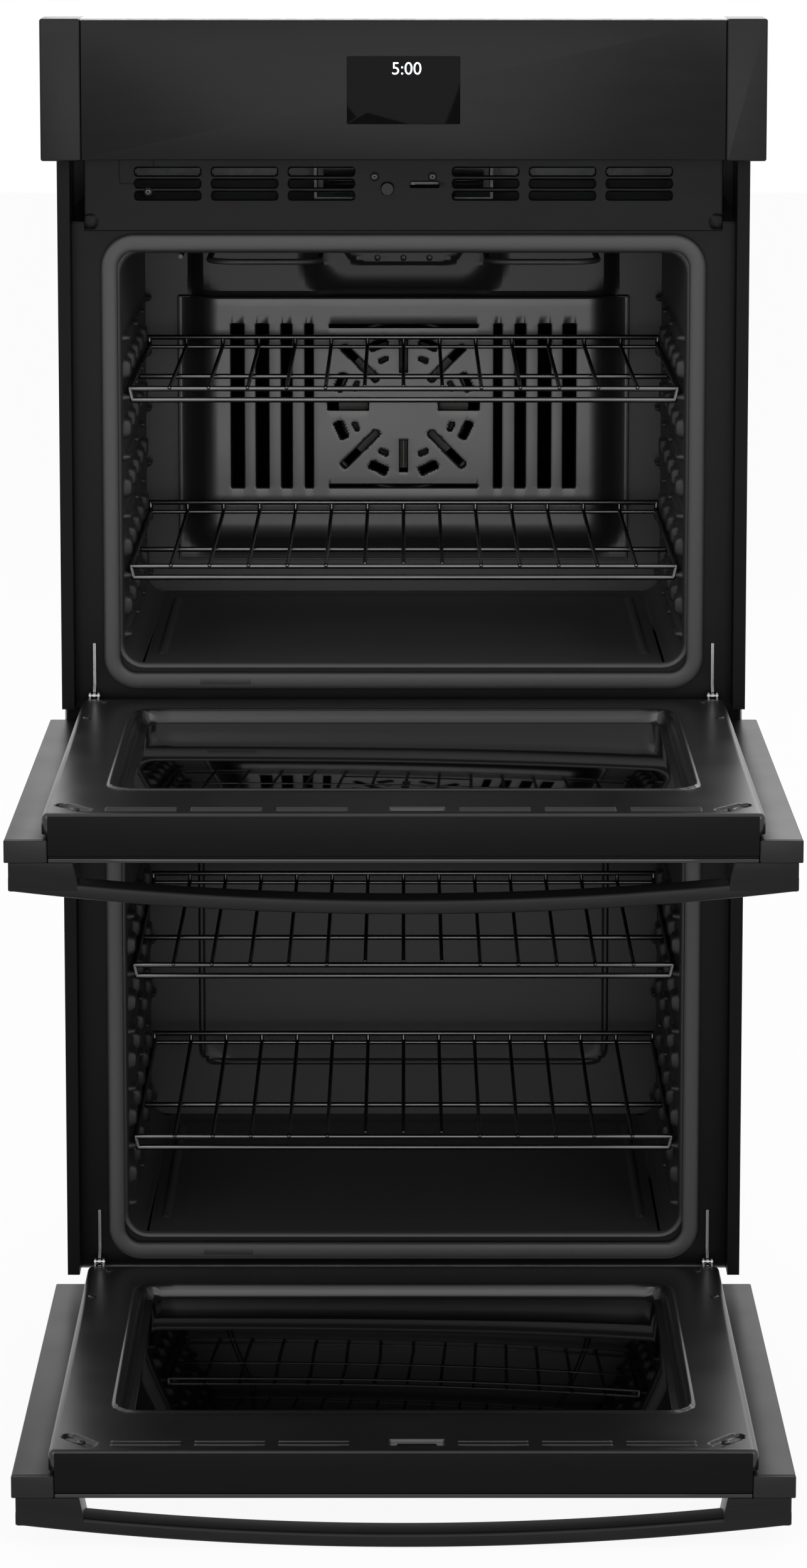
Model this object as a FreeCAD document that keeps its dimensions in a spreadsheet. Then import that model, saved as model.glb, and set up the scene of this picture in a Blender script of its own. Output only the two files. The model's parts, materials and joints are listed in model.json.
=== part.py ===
import FreeCAD, Part
import math
import os
import re

import Sketcher

# Double wall oven, built into a tall cabinet.  Millimetres.
#
# Frame: X to the right, +Y into the cabinet, +Z up.  The origin is the middle of the
# chassis base, in the plane of the cabinet's face.  Both doors rest open, level, and
# their own parts are drawn closed about the hinge axis and then turned down onto it.
#
# The sheet "Sizes" holds the driving dimensions, and every object is bound to its cells.

DOC = FreeCAD.newDocument("WallOven")
SHEET = DOC.addObject("Spreadsheet::Sheet", "Sizes")

SIZES = [
    # name, plain number or formula, meaning
    ("clearance", "0.3", "gap between pieces that move past each other"),
    ("sheet_wall", "1.5", "chassis sheet"),
    ("panel_width", "755.65", "width of the control panel and of the doors"),
    ("cap_overlap", "15.825", "how far the front laps the cabinet on each side"),
    ("chassis_width", "=panel_width - 2 * cap_overlap", "outer width of the chassis"),
    ("chassis_depth", "575", "cabinet face to the back of the chassis"),
    ("control_height", "148", "height of the control panel"),
    ("door_gap", "6", "control panel to the upper door"),
    ("door_height", "574", "height of one door"),
    ("between_doors", "51.2", "upper door's bottom edge to the lower door's top edge"),
    ("base_rise", "4.8", "base to the lower door's bottom edge"),
    ("base_lip", "1", "base sheet in front of the cabinet face"),
    ("total_height", "=control_height + door_gap + 2 * door_height + between_doors + base_rise",
     "base to the top of the control panel"),
    ("liner_standoff", "6.1", "closed door's back face in front of the cabinet face"),
    ("door_thickness", "48.9", "door's front face to its back face"),
    ("front_stand", "=liner_standoff + door_thickness", "front faces before the cabinet face"),
    # hinge axis
    ("pivot_rise", "4.2", "hinge axis above the door's bottom edge"),
    ("pivot_inset", "1.1", "hinge axis inside the door's back face"),
    ("pivot_depth", "=-liner_standoff - pivot_inset", "hinge axis, along Y"),
    ("lower_pivot", "=base_rise + pivot_rise", "lower hinge axis above the base"),
    ("upper_pivot", "=lower_pivot + door_height + between_doors", "upper hinge axis"),
    ("hinge_across", "=panel_width / 2 - 47.825", "hinges from the middle"),
    ("hinge_pin_radius", "2.5", "hinge pin"),
    ("running_fit", "0.05", "radial clearance of a turning fit"),
    ("hinge_ear_radius", "5", "round end of the hinge channel about the pin"),
    ("hinge_channel_width", "11", "hinge channel, outside"),
    ("hinge_channel_wall", "2", "hinge channel wall"),
    ("hinge_channel_length", "140", "hinge channel above the axis"),
    ("hinge_arm_wall", "3", "hinge arm plate"),
    ("hinge_arm_reach", "56", "top of the hinge arm above the axis"),
    # door
    ("door_front", "=pivot_inset - door_thickness", "front face from the hinge axis"),
    ("door_top", "=door_height - pivot_rise", "top edge above the hinge axis"),
    ("door_back", "=pivot_inset", "back face from the hinge axis"),
    ("stile_width", "41.5", "side stile"),
    ("stile_thickness", "21.6", "side stile"),
    ("stile_back", "=door_front + stile_thickness", "back of the stiles"),
    ("front_glass_wall", "4", "front glass"),
    ("pane_wall", "4", "window panes"),
    ("liner_inset", "35.8", "liner in from the door's side edge"),
    ("liner_across", "=panel_width / 2 - liner_inset", "half the liner's width"),
    ("liner_rise", "10", "liner's bottom edge above the hinge axis"),
    ("liner_wall", "1.2", "liner sheet"),
    ("liner_corner", "4", "liner's rounded edges"),
    ("liner_side_wall", "2", "liner's folded rim"),
    ("liner_top", "=door_top - 1.2", "liner's top edge above the hinge axis"),
    ("window_side_margin", "58", "liner's edge to the window recess"),
    ("window_across", "=liner_across - window_side_margin", "half the recess's width"),
    ("window_low", "73", "recess's bottom edge above the hinge axis"),
    ("window_top_margin", "107.8", "door's top edge to the recess"),
    ("window_high", "=door_top - window_top_margin", "recess's top edge"),
    ("window_recess", "12", "depth of the recess"),
    ("window_band", "26", "width of the ledge round the inner pane"),
    ("top_trim_setback", "6.8", "front face to the top trim"),
    ("rail_height", "12", "bottom rail"),
    ("pocket_across", "27", "half the width of the latch pocket"),
    ("pocket_centre", "13", "latch pocket from the middle"),
    # handle
    ("handle_inset", "4.1", "handle's end in from the door's side edge"),
    ("handle_across", "=panel_width / 2 - handle_inset", "half the handle's length"),
    ("handle_bow", "22.4", "rise of the bar's curve at its middle"),
    ("handle_stand", "27.6", "bar's front at its ends, from the door's front"),
    ("handle_radius", "=(handle_across ^ 2 + handle_bow ^ 2) / (2 * handle_bow)",
     "outer radius of the bowed bar"),
    ("handle_wall", "14", "bar, front to back"),
    ("handle_depth", "32", "bar, top to bottom"),
    ("post_base", "61.6", "post's width at the door"),
    ("post_flare", "5.5", "how much wider the post is at the bar"),
    ("post_depth", "40", "post, top to bottom"),
    # oven cavities
    ("gasket_height", "9.8", "door gasket, squeezed"),
    ("gasket_width", "18", "door gasket"),
    ("gasket_corner", "36", "gasket's outer corner"),
    ("gasket_lap", "3", "cavity mouth to the gasket's inner edge at the sides"),
    ("flange_face", "=clearance + gasket_height - liner_standoff", "front of the oven frame, along Y"),
    ("cavity_wall", "1.5", "cavity sheet"),
    ("cavity_inset", "63", "chassis side to the cavity"),
    ("cavity_across", "=chassis_width / 2 - cavity_inset", "half the cavity's width"),
    ("cavity_margin", "134", "door height not used by the cavity"),
    ("cavity_height", "=door_height - cavity_margin", "cavity floor to ceiling"),
    ("rear_room", "120", "cavity's back wall to the back of the chassis"),
    ("cavity_back", "=chassis_depth - rear_room", "cavity's back wall"),
    ("floor_rise", "33.8", "upper cavity's floor above its hinge axis"),
    ("upper_floor", "=upper_pivot + floor_rise", "upper cavity's floor"),
    ("cavity_shift", "4.8", "lower cavity sits this much lower under its door"),
    ("lower_floor", "=lower_pivot + floor_rise - cavity_shift", "lower cavity's floor"),
    ("flange_head", "32", "oven frame above the cavity's ceiling"),
    ("upper_flange_drop", "48", "upper oven frame below its floor"),
    ("first_guide", "37", "lowest rack guide above the floor"),
    ("last_guide_room", "83", "highest rack guide below the ceiling"),
    ("guide_pitch", "=(cavity_height - first_guide - last_guide_room) / 5", "between rack guides"),
    ("guide_depth", "8.5", "rack guide, out of the wall"),
    ("guide_wall", "6", "rack guide, top to bottom"),
    ("guide_front", "16", "rack guides from the oven frame"),
    # racks
    ("rack_across", "=cavity_across - 4", "half the rack's width"),
    ("rack_front", "26", "rack's front behind the cabinet face"),
    ("rack_back_room", "50", "rack's back wire to the cavity's back wall"),
    ("rack_back", "=cavity_back - rack_back_room", "rack's back wire"),
    ("rim_radius", "3", "rack's side and front wires"),
    ("wire_radius", "1.9", "rack's cross wires"),
    ("rack_middle", "135", "rack's front to its middle wire"),
    ("rack_lip", "12", "front wire below the rack"),
    ("rack_stop", "11", "back wire above the rack"),
    # convection
    ("fan_rise", "221.3", "fan axis above the cavity floor"),
    ("fan_radius", "75", "fan"),
    ("fan_hub_radius", "14", "fan hub"),
    ("shaft_radius", "4", "fan shaft"),
    ("cover_depth", "30", "convection cover, out of the back wall"),
    ("cover_across", "=cavity_across - 38.3", "half the cover's width"),
    ("cover_rise", "38.4", "cover above the floor"),
    ("cover_head", "93", "cover below the ceiling"),
    ("motor_radius", "42", "convection motor"),
    ("motor_length", "74", "convection motor"),
    ("tube_radius", "3.25", "heating tubes"),
    ("ring_radius", "98", "ring heater"),
    ("broil_drop", "15", "grill element below the ceiling"),
    # insulation
    ("blanket_wall", "20", "insulation blanket"),
    ("blanket_front", "20", "blanket behind the cabinet face"),
    ("bake_room", "16", "floor sheet to the blanket"),
    # front trims
    ("trim_width", "13", "side trim's front face"),
    ("trim_wall", "1.2", "side trim sheet"),
    ("trim_gap", "3.4", "closed stile to the side trim"),
    ("trim_face", "=stile_thickness - front_stand + trim_gap", "side trim's front"),
    ("trim_lap", "1", "side trim outside the chassis side"),
    ("trim_across", "=chassis_width / 2 + trim_lap - trim_width", "side trim's inner face"),
    ("trim_return", "72", "side trim's inner return"),
    ("trim_clear", "10", "side trim's end from the hinge axis"),
    ("vent_wall", "3", "vent panel, front to back"),
    ("vent_across", "=chassis_width / 2 - 25.3", "half the vent panel's width"),
    ("slot_length", "69", "vent slot"),
    ("slot_height", "8.4", "vent slot"),
    ("slot_pitch", "81", "vent slots, side by side"),
    ("slot_row_pitch", "12.7", "vent slots, row to row"),
    ("slot_first", "86.5", "innermost vent slot's centre from the middle"),
    ("latch_slot_low", "6.5", "latch slot's left end from the middle"),
    ("latch_slot_high", "38.1", "latch slot's right end"),
    ("latch_slot_height", "7", "latch slot"),
    ("latch_line", "=cavity_height + 73", "latch slot above the cavity floor"),
    ("plunger_radius", "6.2", "door switch plunger"),
    ("plunger_across", "-17", "door switch from the middle"),
    ("plunger_free", "1.9", "free plunger past the closed door's back face"),
    ("plunger_length", "26", "door switch plunger"),
    ("plunger_travel", "3", "door switch travel"),
    # latch
    ("hook_pin_across", "46", "latch pin from the middle"),
    ("hook_pin_depth", "26", "latch pin behind the cabinet face"),
    ("hook_pin_radius", "3", "latch pin"),
    ("hook_length", "40", "latch hook"),
    ("hook_width", "6", "latch hook"),
    ("hook_wall", "3", "latch hook plate"),
    # controls
    ("cap_width", "42", "control panel's end cap"),
    ("glass_drop", "1.5", "control glass's top below the end caps"),
    ("control_glass_wall", "5", "control glass"),
    ("tray_back", "10", "control tray's back edge behind the cabinet face"),
    # cooling
    ("rotor_radius", "30", "cooling blower's rotor"),
    ("rotor_length", "180", "cooling blower's rotor"),
    ("rotor_depth", "330", "rotor axis behind the cabinet face"),
    ("blower_room", "7", "rotor to its housing"),
    # fasteners
    ("screw_radius", "4.5", "screw heads"),
    ("screw_head", "2.2", "screw heads"),
    ("cabinet_hole_radius", "2.6", "holes for the cabinet screws"),
    ("cabinet_hole_depth", "15", "cabinet screws behind the cabinet face"),
    ("cabinet_hole_pitch", "390", "upper and lower cabinet screw on each side of one oven"),
    ("conduit_radius", "11", "conduit gland's bore"),
]
NAMES = {name for name, _, _ in SIZES}

for row, (name, value, meaning) in enumerate(SIZES, start=1):
    SHEET.set(f"A{row}", name)
    SHEET.set(f"B{row}", value)
    SHEET.set(f"C{row}", meaning)
    SHEET.setAlias(f"B{row}", name)
DOC.recompute()

NODES = []


def size(name):
    """Read one size from the sheet."""
    return float(SHEET.get(name))


def tied(formula):
    """Point each size named in a formula at its cell in the sheet."""
    def cell(word):
        return f"Sizes.{word.group()}" if word.group() in NAMES else word.group()
    return re.sub(r"[a-z_]+", cell, formula)


def bind(thing, prop, formula):
    """Bind one property of an object to a formula of named sizes."""
    thing.setExpression(prop, tied(formula))


def node(label, thing):
    """Name a finished sub-part; the label is also its file's name."""
    thing.Label = label
    NODES.append(thing)
    return thing


# ---------------------------------------------------------------- primitives

def box(name, across, deep, high):
    """Make a block from (low, high) formulas along X, Y and Z."""
    block = DOC.addObject("Part::Box", name)
    sides = zip("xyz", ("Length", "Width", "Height"), (across, deep, high))
    for axis, side, (low, top) in sides:
        bind(block, f"Placement.Base.{axis}", low)
        bind(block, side, f"({top}) - ({low})")
    return block


TURN = {
    "x": FreeCAD.Rotation(FreeCAD.Vector(0, 1, 0), 90),
    "y": FreeCAD.Rotation(FreeCAD.Vector(1, 0, 0), -90),
    "z": FreeCAD.Rotation(),
}


def rod(name, axis, start, radius, length):
    """Make a round bar that starts at three formulas and runs along one axis."""
    bar = DOC.addObject("Part::Cylinder", name)
    bar.Placement = FreeCAD.Placement(FreeCAD.Vector(), TURN[axis])
    for letter, formula in zip("xyz", start):
        bind(bar, f"Placement.Base.{letter}", formula)
    bind(bar, "Radius", radius)
    bind(bar, "Height", length)
    return bar


def fuse(name, *pieces):
    """Join pieces into one solid."""
    joined = DOC.addObject("Part::MultiFuse", name)
    joined.Shapes = list(pieces)
    return joined


def group(name, *pieces):
    """Hold separate solids in one object."""
    held = DOC.addObject("Part::Compound", name)
    held.Links = list(pieces)
    return held


def cut(name, base, *tools):
    """Cut one or more tools out of a base."""
    result = DOC.addObject("Part::Cut", name)
    result.Base = base
    result.Tool = tools[0] if len(tools) == 1 else group(f"{name}_tools", *tools)
    return result


# ---------------------------------------------------------------- sketched bodies

def body(name):
    """Start a body."""
    return DOC.addObject("PartDesign::Body", name)


def sketch(owner, name, role, offset="0"):
    """Start a sketch on one of a body's own planes, moved along the plane's normal."""
    plane = next(item for item in owner.Origin.OriginFeatures if item.Role == role)
    drawing = owner.newObject("Sketcher::SketchObject", name)
    drawing.AttachmentSupport = [(plane, "")]
    drawing.MapMode = "FlatFace"
    bind(drawing, "AttachmentOffset.Base.z", offset)
    return drawing


def outline(drawing, corners):
    """Draw a closed outline whose corners are bound to pairs of formulas."""
    first = drawing.GeometryCount
    count = len(corners)
    spots = []
    for index in range(count):
        angle = 2 * math.pi * index / count
        spots.append(FreeCAD.Vector(100 * math.cos(angle), 100 * math.sin(angle), 0))
    for index in range(count):
        drawing.addGeometry(Part.LineSegment(spots[index], spots[(index + 1) % count]), False)
    for index in range(count):
        ahead = first + (index + 1) % count
        drawing.addConstraint(Sketcher.Constraint("Coincident", first + index, 2, ahead, 1))
    for index, corner in enumerate(corners):
        for kind, formula in zip(("DistanceX", "DistanceY"), corner):
            limit = Sketcher.Constraint(kind, -1, 1, first + index, 1, 1.0)
            bind(drawing, f"Constraints[{drawing.addConstraint(limit)}]", formula)


def rectangle(drawing, across, up):
    """Draw a rectangle from (low, high) formulas along the sketch's two axes."""
    outline(drawing, [
        (across[0], up[0]),
        (across[1], up[0]),
        (across[1], up[1]),
        (across[0], up[1]),
    ])


def pad(owner, name, drawing, length, reverse=False, middle=False):
    """Pad a sketch."""
    feature = owner.newObject("PartDesign::Pad", name)
    feature.Profile = drawing
    feature.Reversed = reverse
    if middle:
        feature.SideType = "Symmetric"
    bind(feature, "Length", length)
    DOC.recompute()
    return feature


def pocket(owner, name, drawing, length=None, reverse=False):
    """Cut a sketch out of a body, to a depth or all the way."""
    feature = owner.newObject("PartDesign::Pocket", name)
    feature.Profile = drawing
    feature.Reversed = reverse
    if length is None:
        feature.Type = "ThroughAll"
        feature.Midplane = True
    else:
        bind(feature, "Length", length)
    DOC.recompute()
    return feature


def round_edges(owner, name, feature, chosen, radius):
    """Fillet the edges of a feature that a test picks out."""
    picked = []
    for index, edge in enumerate(feature.Shape.Edges, start=1):
        if chosen(edge):
            picked.append(f"Edge{index}")
    rounding = owner.newObject("PartDesign::Fillet", name)
    rounding.Base = (feature, picked)
    bind(rounding, "Radius", radius)
    DOC.recompute()
    return rounding


def runs_along(axis):
    """Test for a straight edge along one axis."""
    def chosen(edge):
        if edge.Curve.TypeId != "Part::GeomLine":
            return False
        return abs(abs(edge.Curve.Direction.dot(axis)) - 1) < 1e-6
    return chosen


ALONG_Y = runs_along(FreeCAD.Vector(0, 1, 0))


# ---------------------------------------------------------------- chassis

def cabinet_holes(name, side):
    """Cutters for one side's cabinet screws: two for each oven."""
    cutters = []
    for oven, floor in (("upper", "upper_floor"), ("lower", "lower_floor")):
        for step in ("-0.5", "0.5"):
            height = f"{floor} + cavity_height / 2 + {step} * cabinet_hole_pitch"
            start = (f"{side} * (chassis_width / 2 + trim_lap) - 20", "cabinet_hole_depth", height)
            cutters.append(rod(f"{name}_{oven}", "x", start, "cabinet_hole_radius", "40"))
    return cutters


def chassis():
    """Make the side panels, top, base and back."""
    low = "sheet_wall"
    high = "total_height - sheet_wall"
    rear = "chassis_depth - sheet_wall"
    for label, side in (("left", "-1"), ("right", "1")):
        edges = ["chassis_width / 2 - sheet_wall", "chassis_width / 2"]
        if side == "-1":
            edges = [f"-({edge})" for edge in reversed(edges)]
        sheet = box(f"side_sheet_{label}", edges, ("0", rear), (low, high))
        panel = cut(f"side_{label}", sheet, *cabinet_holes(f"side_hole_{label}", side))
        node(f"side_panel_{label}", panel)
    half = "chassis_width / 2"
    inner = "panel_width / 2 - cap_width"
    roof = box("roof", (f"-{half}", half), ("0", "chassis_depth"), (high, "total_height"))
    lip = box("roof_lip", (f"-({inner})", inner), ("-front_stand + control_glass_wall + 2", "0"),
              (high, "total_height"))
    node("top_panel", fuse("top", roof, lip))
    node("base_panel", box("base", (f"-{half}", half), ("-base_lip", "chassis_depth"), ("0", low)))
    back = box("back", (f"-{half}", half), (rear, "chassis_depth"), (low, high))
    hole = rod("back_hole", "y", ("chassis_width / 2 - 60", f"{rear} - 5", "total_height - 60"),
               "conduit_radius + 3", "20")
    node("back_cover", cut("back_cut", back, hole))
    gland = rod("gland_outside", "y", ("chassis_width / 2 - 60", f"{rear} - 12", "total_height - 60"),
                "conduit_radius + 3", "12 + sheet_wall")
    collar = rod("gland_collar", "y", ("chassis_width / 2 - 60", f"{rear} - 8", "total_height - 60"),
                 "conduit_radius + 8", "8")
    bore = rod("gland_bore", "y", ("chassis_width / 2 - 60", f"{rear} - 20", "total_height - 60"),
               "conduit_radius", "40")
    node("conduit_gland", cut("gland", fuse("gland_body", gland, collar), bore))


def side_trim(label, side, low, high):
    """Make one folded trim beside an oven door."""
    edge = "chassis_width / 2 + trim_lap"
    strips = {
        "face": ((edge, "trim_across"), ("trim_face", "trim_face + trim_wall")),
        "inner": (("trim_across + trim_wall", "trim_across"), ("trim_face", "trim_face + trim_return")),
        "outer": ((edge, f"{edge} - trim_lap"), ("trim_face", "trim_face + trim_return * 0.85")),
    }
    folds = []
    for strip, (across, deep) in strips.items():
        if side == "-1":
            across = tuple(f"-({formula})" for formula in across)
        else:
            across = tuple(reversed(across))
        folds.append(box(f"trim_{strip}_{label}", across, deep, (low, high)))
    return fuse(f"trim_{label}", *folds)


def side_trims():
    """Make the four trims, with holes for the cabinet screws."""
    upper = ("upper_pivot - trim_clear", "total_height - control_height")
    lower = ("sheet_wall", "upper_pivot + door_front - 2.4")
    trims = []
    for label, side in (("left", "-1"), ("right", "1")):
        strips = [side_trim(f"upper_{label}", side, *upper), side_trim(f"lower_{label}", side, *lower)]
        pair = group(f"trims_{label}", *strips)
        trims.append(cut(f"trims_cut_{label}", pair, *cabinet_holes(f"trim_hole_{label}", side)))
    node("side_trims", group("trims", *trims))


def vent_panel(label, floor, top):
    """Make the slotted panel over one oven, with its latch slot and switch hole."""
    bottom = f"{floor} + cavity_height + 24"
    shade = body(f"{label}_body")
    face = sketch(shade, f"{label}_outline", "XZ_Plane", "-flange_face")
    rectangle(face, ("-vent_across", "vent_across"), (bottom, top))
    pad(shade, f"{label}_sheet", face, "vent_wall")
    slots = sketch(shade, f"{label}_slots", "XZ_Plane", "-flange_face")
    line = f"{floor} + cavity_height + 74"
    for row in range(2):
        middle = f"({line} - {row} * slot_row_pitch)"
        for column in range(3):
            centre = f"(slot_first + {column} * slot_pitch)"
            for side in ("", "-"):
                ends = (f"{side}{centre} - slot_length / 2", f"{side}{centre} + slot_length / 2")
                rectangle(slots, ends, (f"{middle} - slot_height / 2", f"{middle} + slot_height / 2"))
    pocket(shade, f"{label}_slots_cut", slots)
    latch = sketch(shade, f"{label}_latch", "XZ_Plane", "-flange_face")
    rectangle(latch, ("latch_slot_low", "latch_slot_high"),
              (f"{floor} + latch_line - latch_slot_height / 2", f"{floor} + latch_line + latch_slot_height / 2"))
    pocket(shade, f"{label}_latch_cut", latch)
    hole = rod(f"{label}_hole", "y", ("plunger_across", "flange_face - vent_wall - 5",
                                      f"{floor} + latch_line - 4"), "plunger_radius + clearance", "20")
    node(label, cut(f"{label}_cut", shade, hole))


def duct_plates():
    """Make the plate over each oven that carries the blower and the latches."""
    plates = []
    for oven, floor in (("upper", "upper_floor"), ("lower", "lower_floor")):
        low = f"{floor} + cavity_height + flange_head"
        inner = "chassis_width / 2 - sheet_wall"
        step = "trim_face + trim_return"
        sheet = (low, f"{low} + sheet_wall")
        rear = box(f"duct_rear_{oven}", (f"-({inner})", inner), (step, "chassis_depth - sheet_wall"), sheet)
        tongue = box(f"duct_front_{oven}", ("-trim_across", "trim_across"),
                     ("flange_face + cavity_wall", step), sheet)
        plates.append(fuse(f"duct_{oven}", rear, tongue))
    node("duct_plates", group("ducts", *plates))


# ---------------------------------------------------------------- oven cavities

def cavity(label, floor, flange_low):
    """Make one cavity: box, rack guides and the front flange with its hinge slots."""
    across = "cavity_across + cavity_wall"
    high = f"{floor} + cavity_height + cavity_wall"
    shell = box(f"{label}_shell", (f"-({across})", across), ("flange_face", "cavity_back + cavity_wall"),
                (f"{floor} - cavity_wall", high))
    flange = box(f"{label}_flange", ("-trim_across", "trim_across"),
                 ("flange_face", "flange_face + cavity_wall"),
                 (flange_low, f"{floor} + cavity_height + flange_head"))
    room = box(f"{label}_room", ("-cavity_across", "cavity_across"), ("flange_face - 1", "cavity_back"),
               (floor, f"{floor} + cavity_height"))
    pivot = f"({floor} - floor_rise)" if label.startswith("upper") else f"({floor} - floor_rise + cavity_shift)"
    tools = [room]
    for side in ("-", ""):
        middle = f"{side}hinge_across"
        half = "(hinge_arm_wall / 2 + clearance)"
        tools.append(box(f"{label}_hinge_slot", (f"{middle} - {half}", f"{middle} + {half}"),
                         ("flange_face - 1", "flange_face + cavity_wall + 1"),
                         (f"{pivot} + 2", f"{pivot} + hinge_arm_reach + clearance")))
    if label.startswith("upper"):
        tools.append(rod(f"{label}_shaft_hole", "y", ("0", "cavity_back - 1", f"{floor} + fan_rise"),
                         "shaft_radius + 3", "cavity_wall + 2"))
    hollow = cut(f"{label}_hollow", fuse(f"{label}_outside", shell, flange), *tools)
    guides = [hollow]
    for level in range(6):
        top = f"({floor} + first_guide + {level} * guide_pitch - rim_radius - clearance)"
        for side in ("-", ""):
            inner = f"{side}(cavity_across - guide_depth)"
            outer = f"{side}(cavity_across + cavity_wall / 2)"
            span = (outer, inner) if side else (inner, outer)
            guides.append(box(f"{label}_guide", span, ("flange_face + guide_front", "cavity_back - 12"),
                              (f"{top} - guide_wall", top)))
    node(label, fuse(f"{label}_whole", *guides))


def gasket(oven, floor):
    """Make one door gasket."""
    seal = body(f"{oven}_gasket_body")
    across = "(cavity_across + gasket_lap + gasket_width)"
    ring = sketch(seal, f"{oven}_gasket_outside", "XZ_Plane", "-flange_face")
    rectangle(ring, (f"-{across}", across),
              (f"{floor} - 9.6 - gasket_width", f"{floor} + cavity_height + 2.5 + gasket_width"))
    block = pad(seal, f"{oven}_gasket_pad", ring, "gasket_height")
    round_edges(seal, f"{oven}_gasket_corners", block, ALONG_Y, "gasket_corner")
    mouth = sketch(seal, f"{oven}_gasket_mouth", "XZ_Plane", "-flange_face")
    rectangle(mouth, (f"-{across} + gasket_width", f"{across} - gasket_width"),
              (f"{floor} - 9.6", f"{floor} + cavity_height + 2.5"))
    pocket(seal, f"{oven}_gasket_open", mouth)
    return seal


def rack(label, height):
    """Make one wire rack: rim, cross wires and the raised back wire."""
    pieces = []
    edge = "rack_across - rim_radius"
    for side in ("-", ""):
        pieces.append(rod(f"{label}_side", "y", (f"{side}({edge})", "rack_front", height),
                          "rim_radius", "rack_back - rack_front"))
    for name, depth in (("front", "rack_front"), ("rear", "rack_back")):
        pieces.append(rod(f"{label}_{name}", "x", (f"-({edge})", depth, height), "rim_radius", f"2 * ({edge})"))
    under = f"({edge} - 4)"
    pieces.append(rod(f"{label}_middle", "x", (f"-{under}", "rack_front + rack_middle", f"{height} - 2 * wire_radius"),
                      "rim_radius", f"2 * {under}"))
    for side in ("-", ""):
        pieces.append(rod(f"{label}_riser", "z", (f"{side}({edge})", "rack_back", height),
                          "rim_radius", "rack_stop"))
        pieces.append(rod(f"{label}_drop", "z", (f"{side}({edge} - 12)", "rack_front", f"{height} - rack_lip"),
                          "rim_radius", "rack_lip"))
    pieces.append(rod(f"{label}_stop", "x", (f"-({edge})", "rack_back", f"{height} + rack_stop"),
                      "rim_radius", f"2 * ({edge})"))
    pieces.append(rod(f"{label}_lip", "x", (f"-({edge} - 12)", "rack_front", f"{height} - rack_lip"),
                      "rim_radius", f"2 * ({edge} - 12)"))
    for wire in range(-6, 7):
        across = f"{wire} * (rack_across - 25) / 6.5"
        pieces.append(rod(f"{label}_wire", "y", (across, "rack_front - 1", height),
                          "wire_radius", "rack_back - rack_front + 2"))
    node(label, fuse(f"{label}_wires", *pieces))


def racks():
    """Set two racks in each oven, three guide levels apart."""
    for oven, floor in (("upper", "upper_floor"), ("lower", "lower_floor")):
        for name, level in (("top", 4), ("bottom", 1)):
            rack(f"{oven}_{name}_rack", f"({floor} + first_guide + {level} * guide_pitch)")


# ---------------------------------------------------------------- heating and air

def tube(corners, bend):
    """Sweep a heating tube along runs joined by arcs of one bend radius."""
    edges = []
    start = corners[0]
    for before, corner, after in zip(corners, corners[1:], corners[2:]):
        back = (before - corner).normalize()
        ahead = (after - corner).normalize()
        middle = (back + ahead).normalize()
        half_turn = math.acos(-back.dot(ahead)) / 2
        setback = bend * math.tan(half_turn)
        far = bend / math.cos(half_turn) - bend
        entry = corner + back * setback
        edges.append(Part.LineSegment(start, entry).toShape())
        start = corner + ahead * setback
        edges.append(Part.Arc(entry, corner + middle * far, start).toShape())
    edges.append(Part.LineSegment(start, corners[-1]).toShape())
    heading = (corners[1] - corners[0]).normalize()
    section = Part.Wire(Part.makeCircle(size("tube_radius"), corners[0], heading))
    return Part.Wire(edges).makePipeShell([section], True, True)


def elements(label, plan, floors, offset, bend):
    """Make the same tube element for both ovens at a height beside their floors."""
    tubes = []
    for floor in floors:
        corners = [FreeCAD.Vector(across, deep, size(floor) + offset) for across, deep in plan]
        tubes.append(tube(corners, bend))
    heater = DOC.addObject("Part::Feature", f"{label}_tubes")
    heater.Shape = Part.Compound(tubes)
    heater.Placement = FreeCAD.Placement()
    node(label, heater)


def heating():
    """Make the grill, bake and ring elements."""
    floors = ("upper_floor", "lower_floor")
    back = size("cavity_back")
    wide = size("cavity_across") - 90
    narrow = 90
    near = size("flange_face") + 60
    broil = [(-wide, back), (-wide, near), (-narrow, near), (-narrow, back - 80),
             (narrow, back - 80), (narrow, near), (wide, near), (wide, back)]
    elements("broil_elements", broil, floors, size("cavity_height") - size("broil_drop"), 30)
    bake = [(-wide, back - 20), (-wide, near), (-narrow, near), (-narrow, back - 80),
            (narrow, back - 80), (narrow, near), (wide, near), (wide, back - 20)]
    rest = -size("cavity_wall") - size("tube_radius")
    elements("bake_elements", bake, floors, rest, 30)
    ring = DOC.addObject("Part::Torus", "ring_tube")
    ring.Placement = FreeCAD.Placement(FreeCAD.Vector(), TURN["y"])
    bind(ring, "Placement.Base.y", "cavity_back - cover_depth / 2")
    bind(ring, "Placement.Base.z", "upper_floor + fan_rise")
    bind(ring, "Radius1", "ring_radius")
    bind(ring, "Radius2", "tube_radius")
    legs = []
    for side in ("-", ""):
        start = (f"{side}20", "cavity_back - cover_depth / 2", "upper_floor + fan_rise + ring_radius - 2")
        legs.append(rod("ring_leg", "y", start, "tube_radius", "cover_depth / 2"))
    node("convection_element", fuse("ring_element", ring, *legs))


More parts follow.
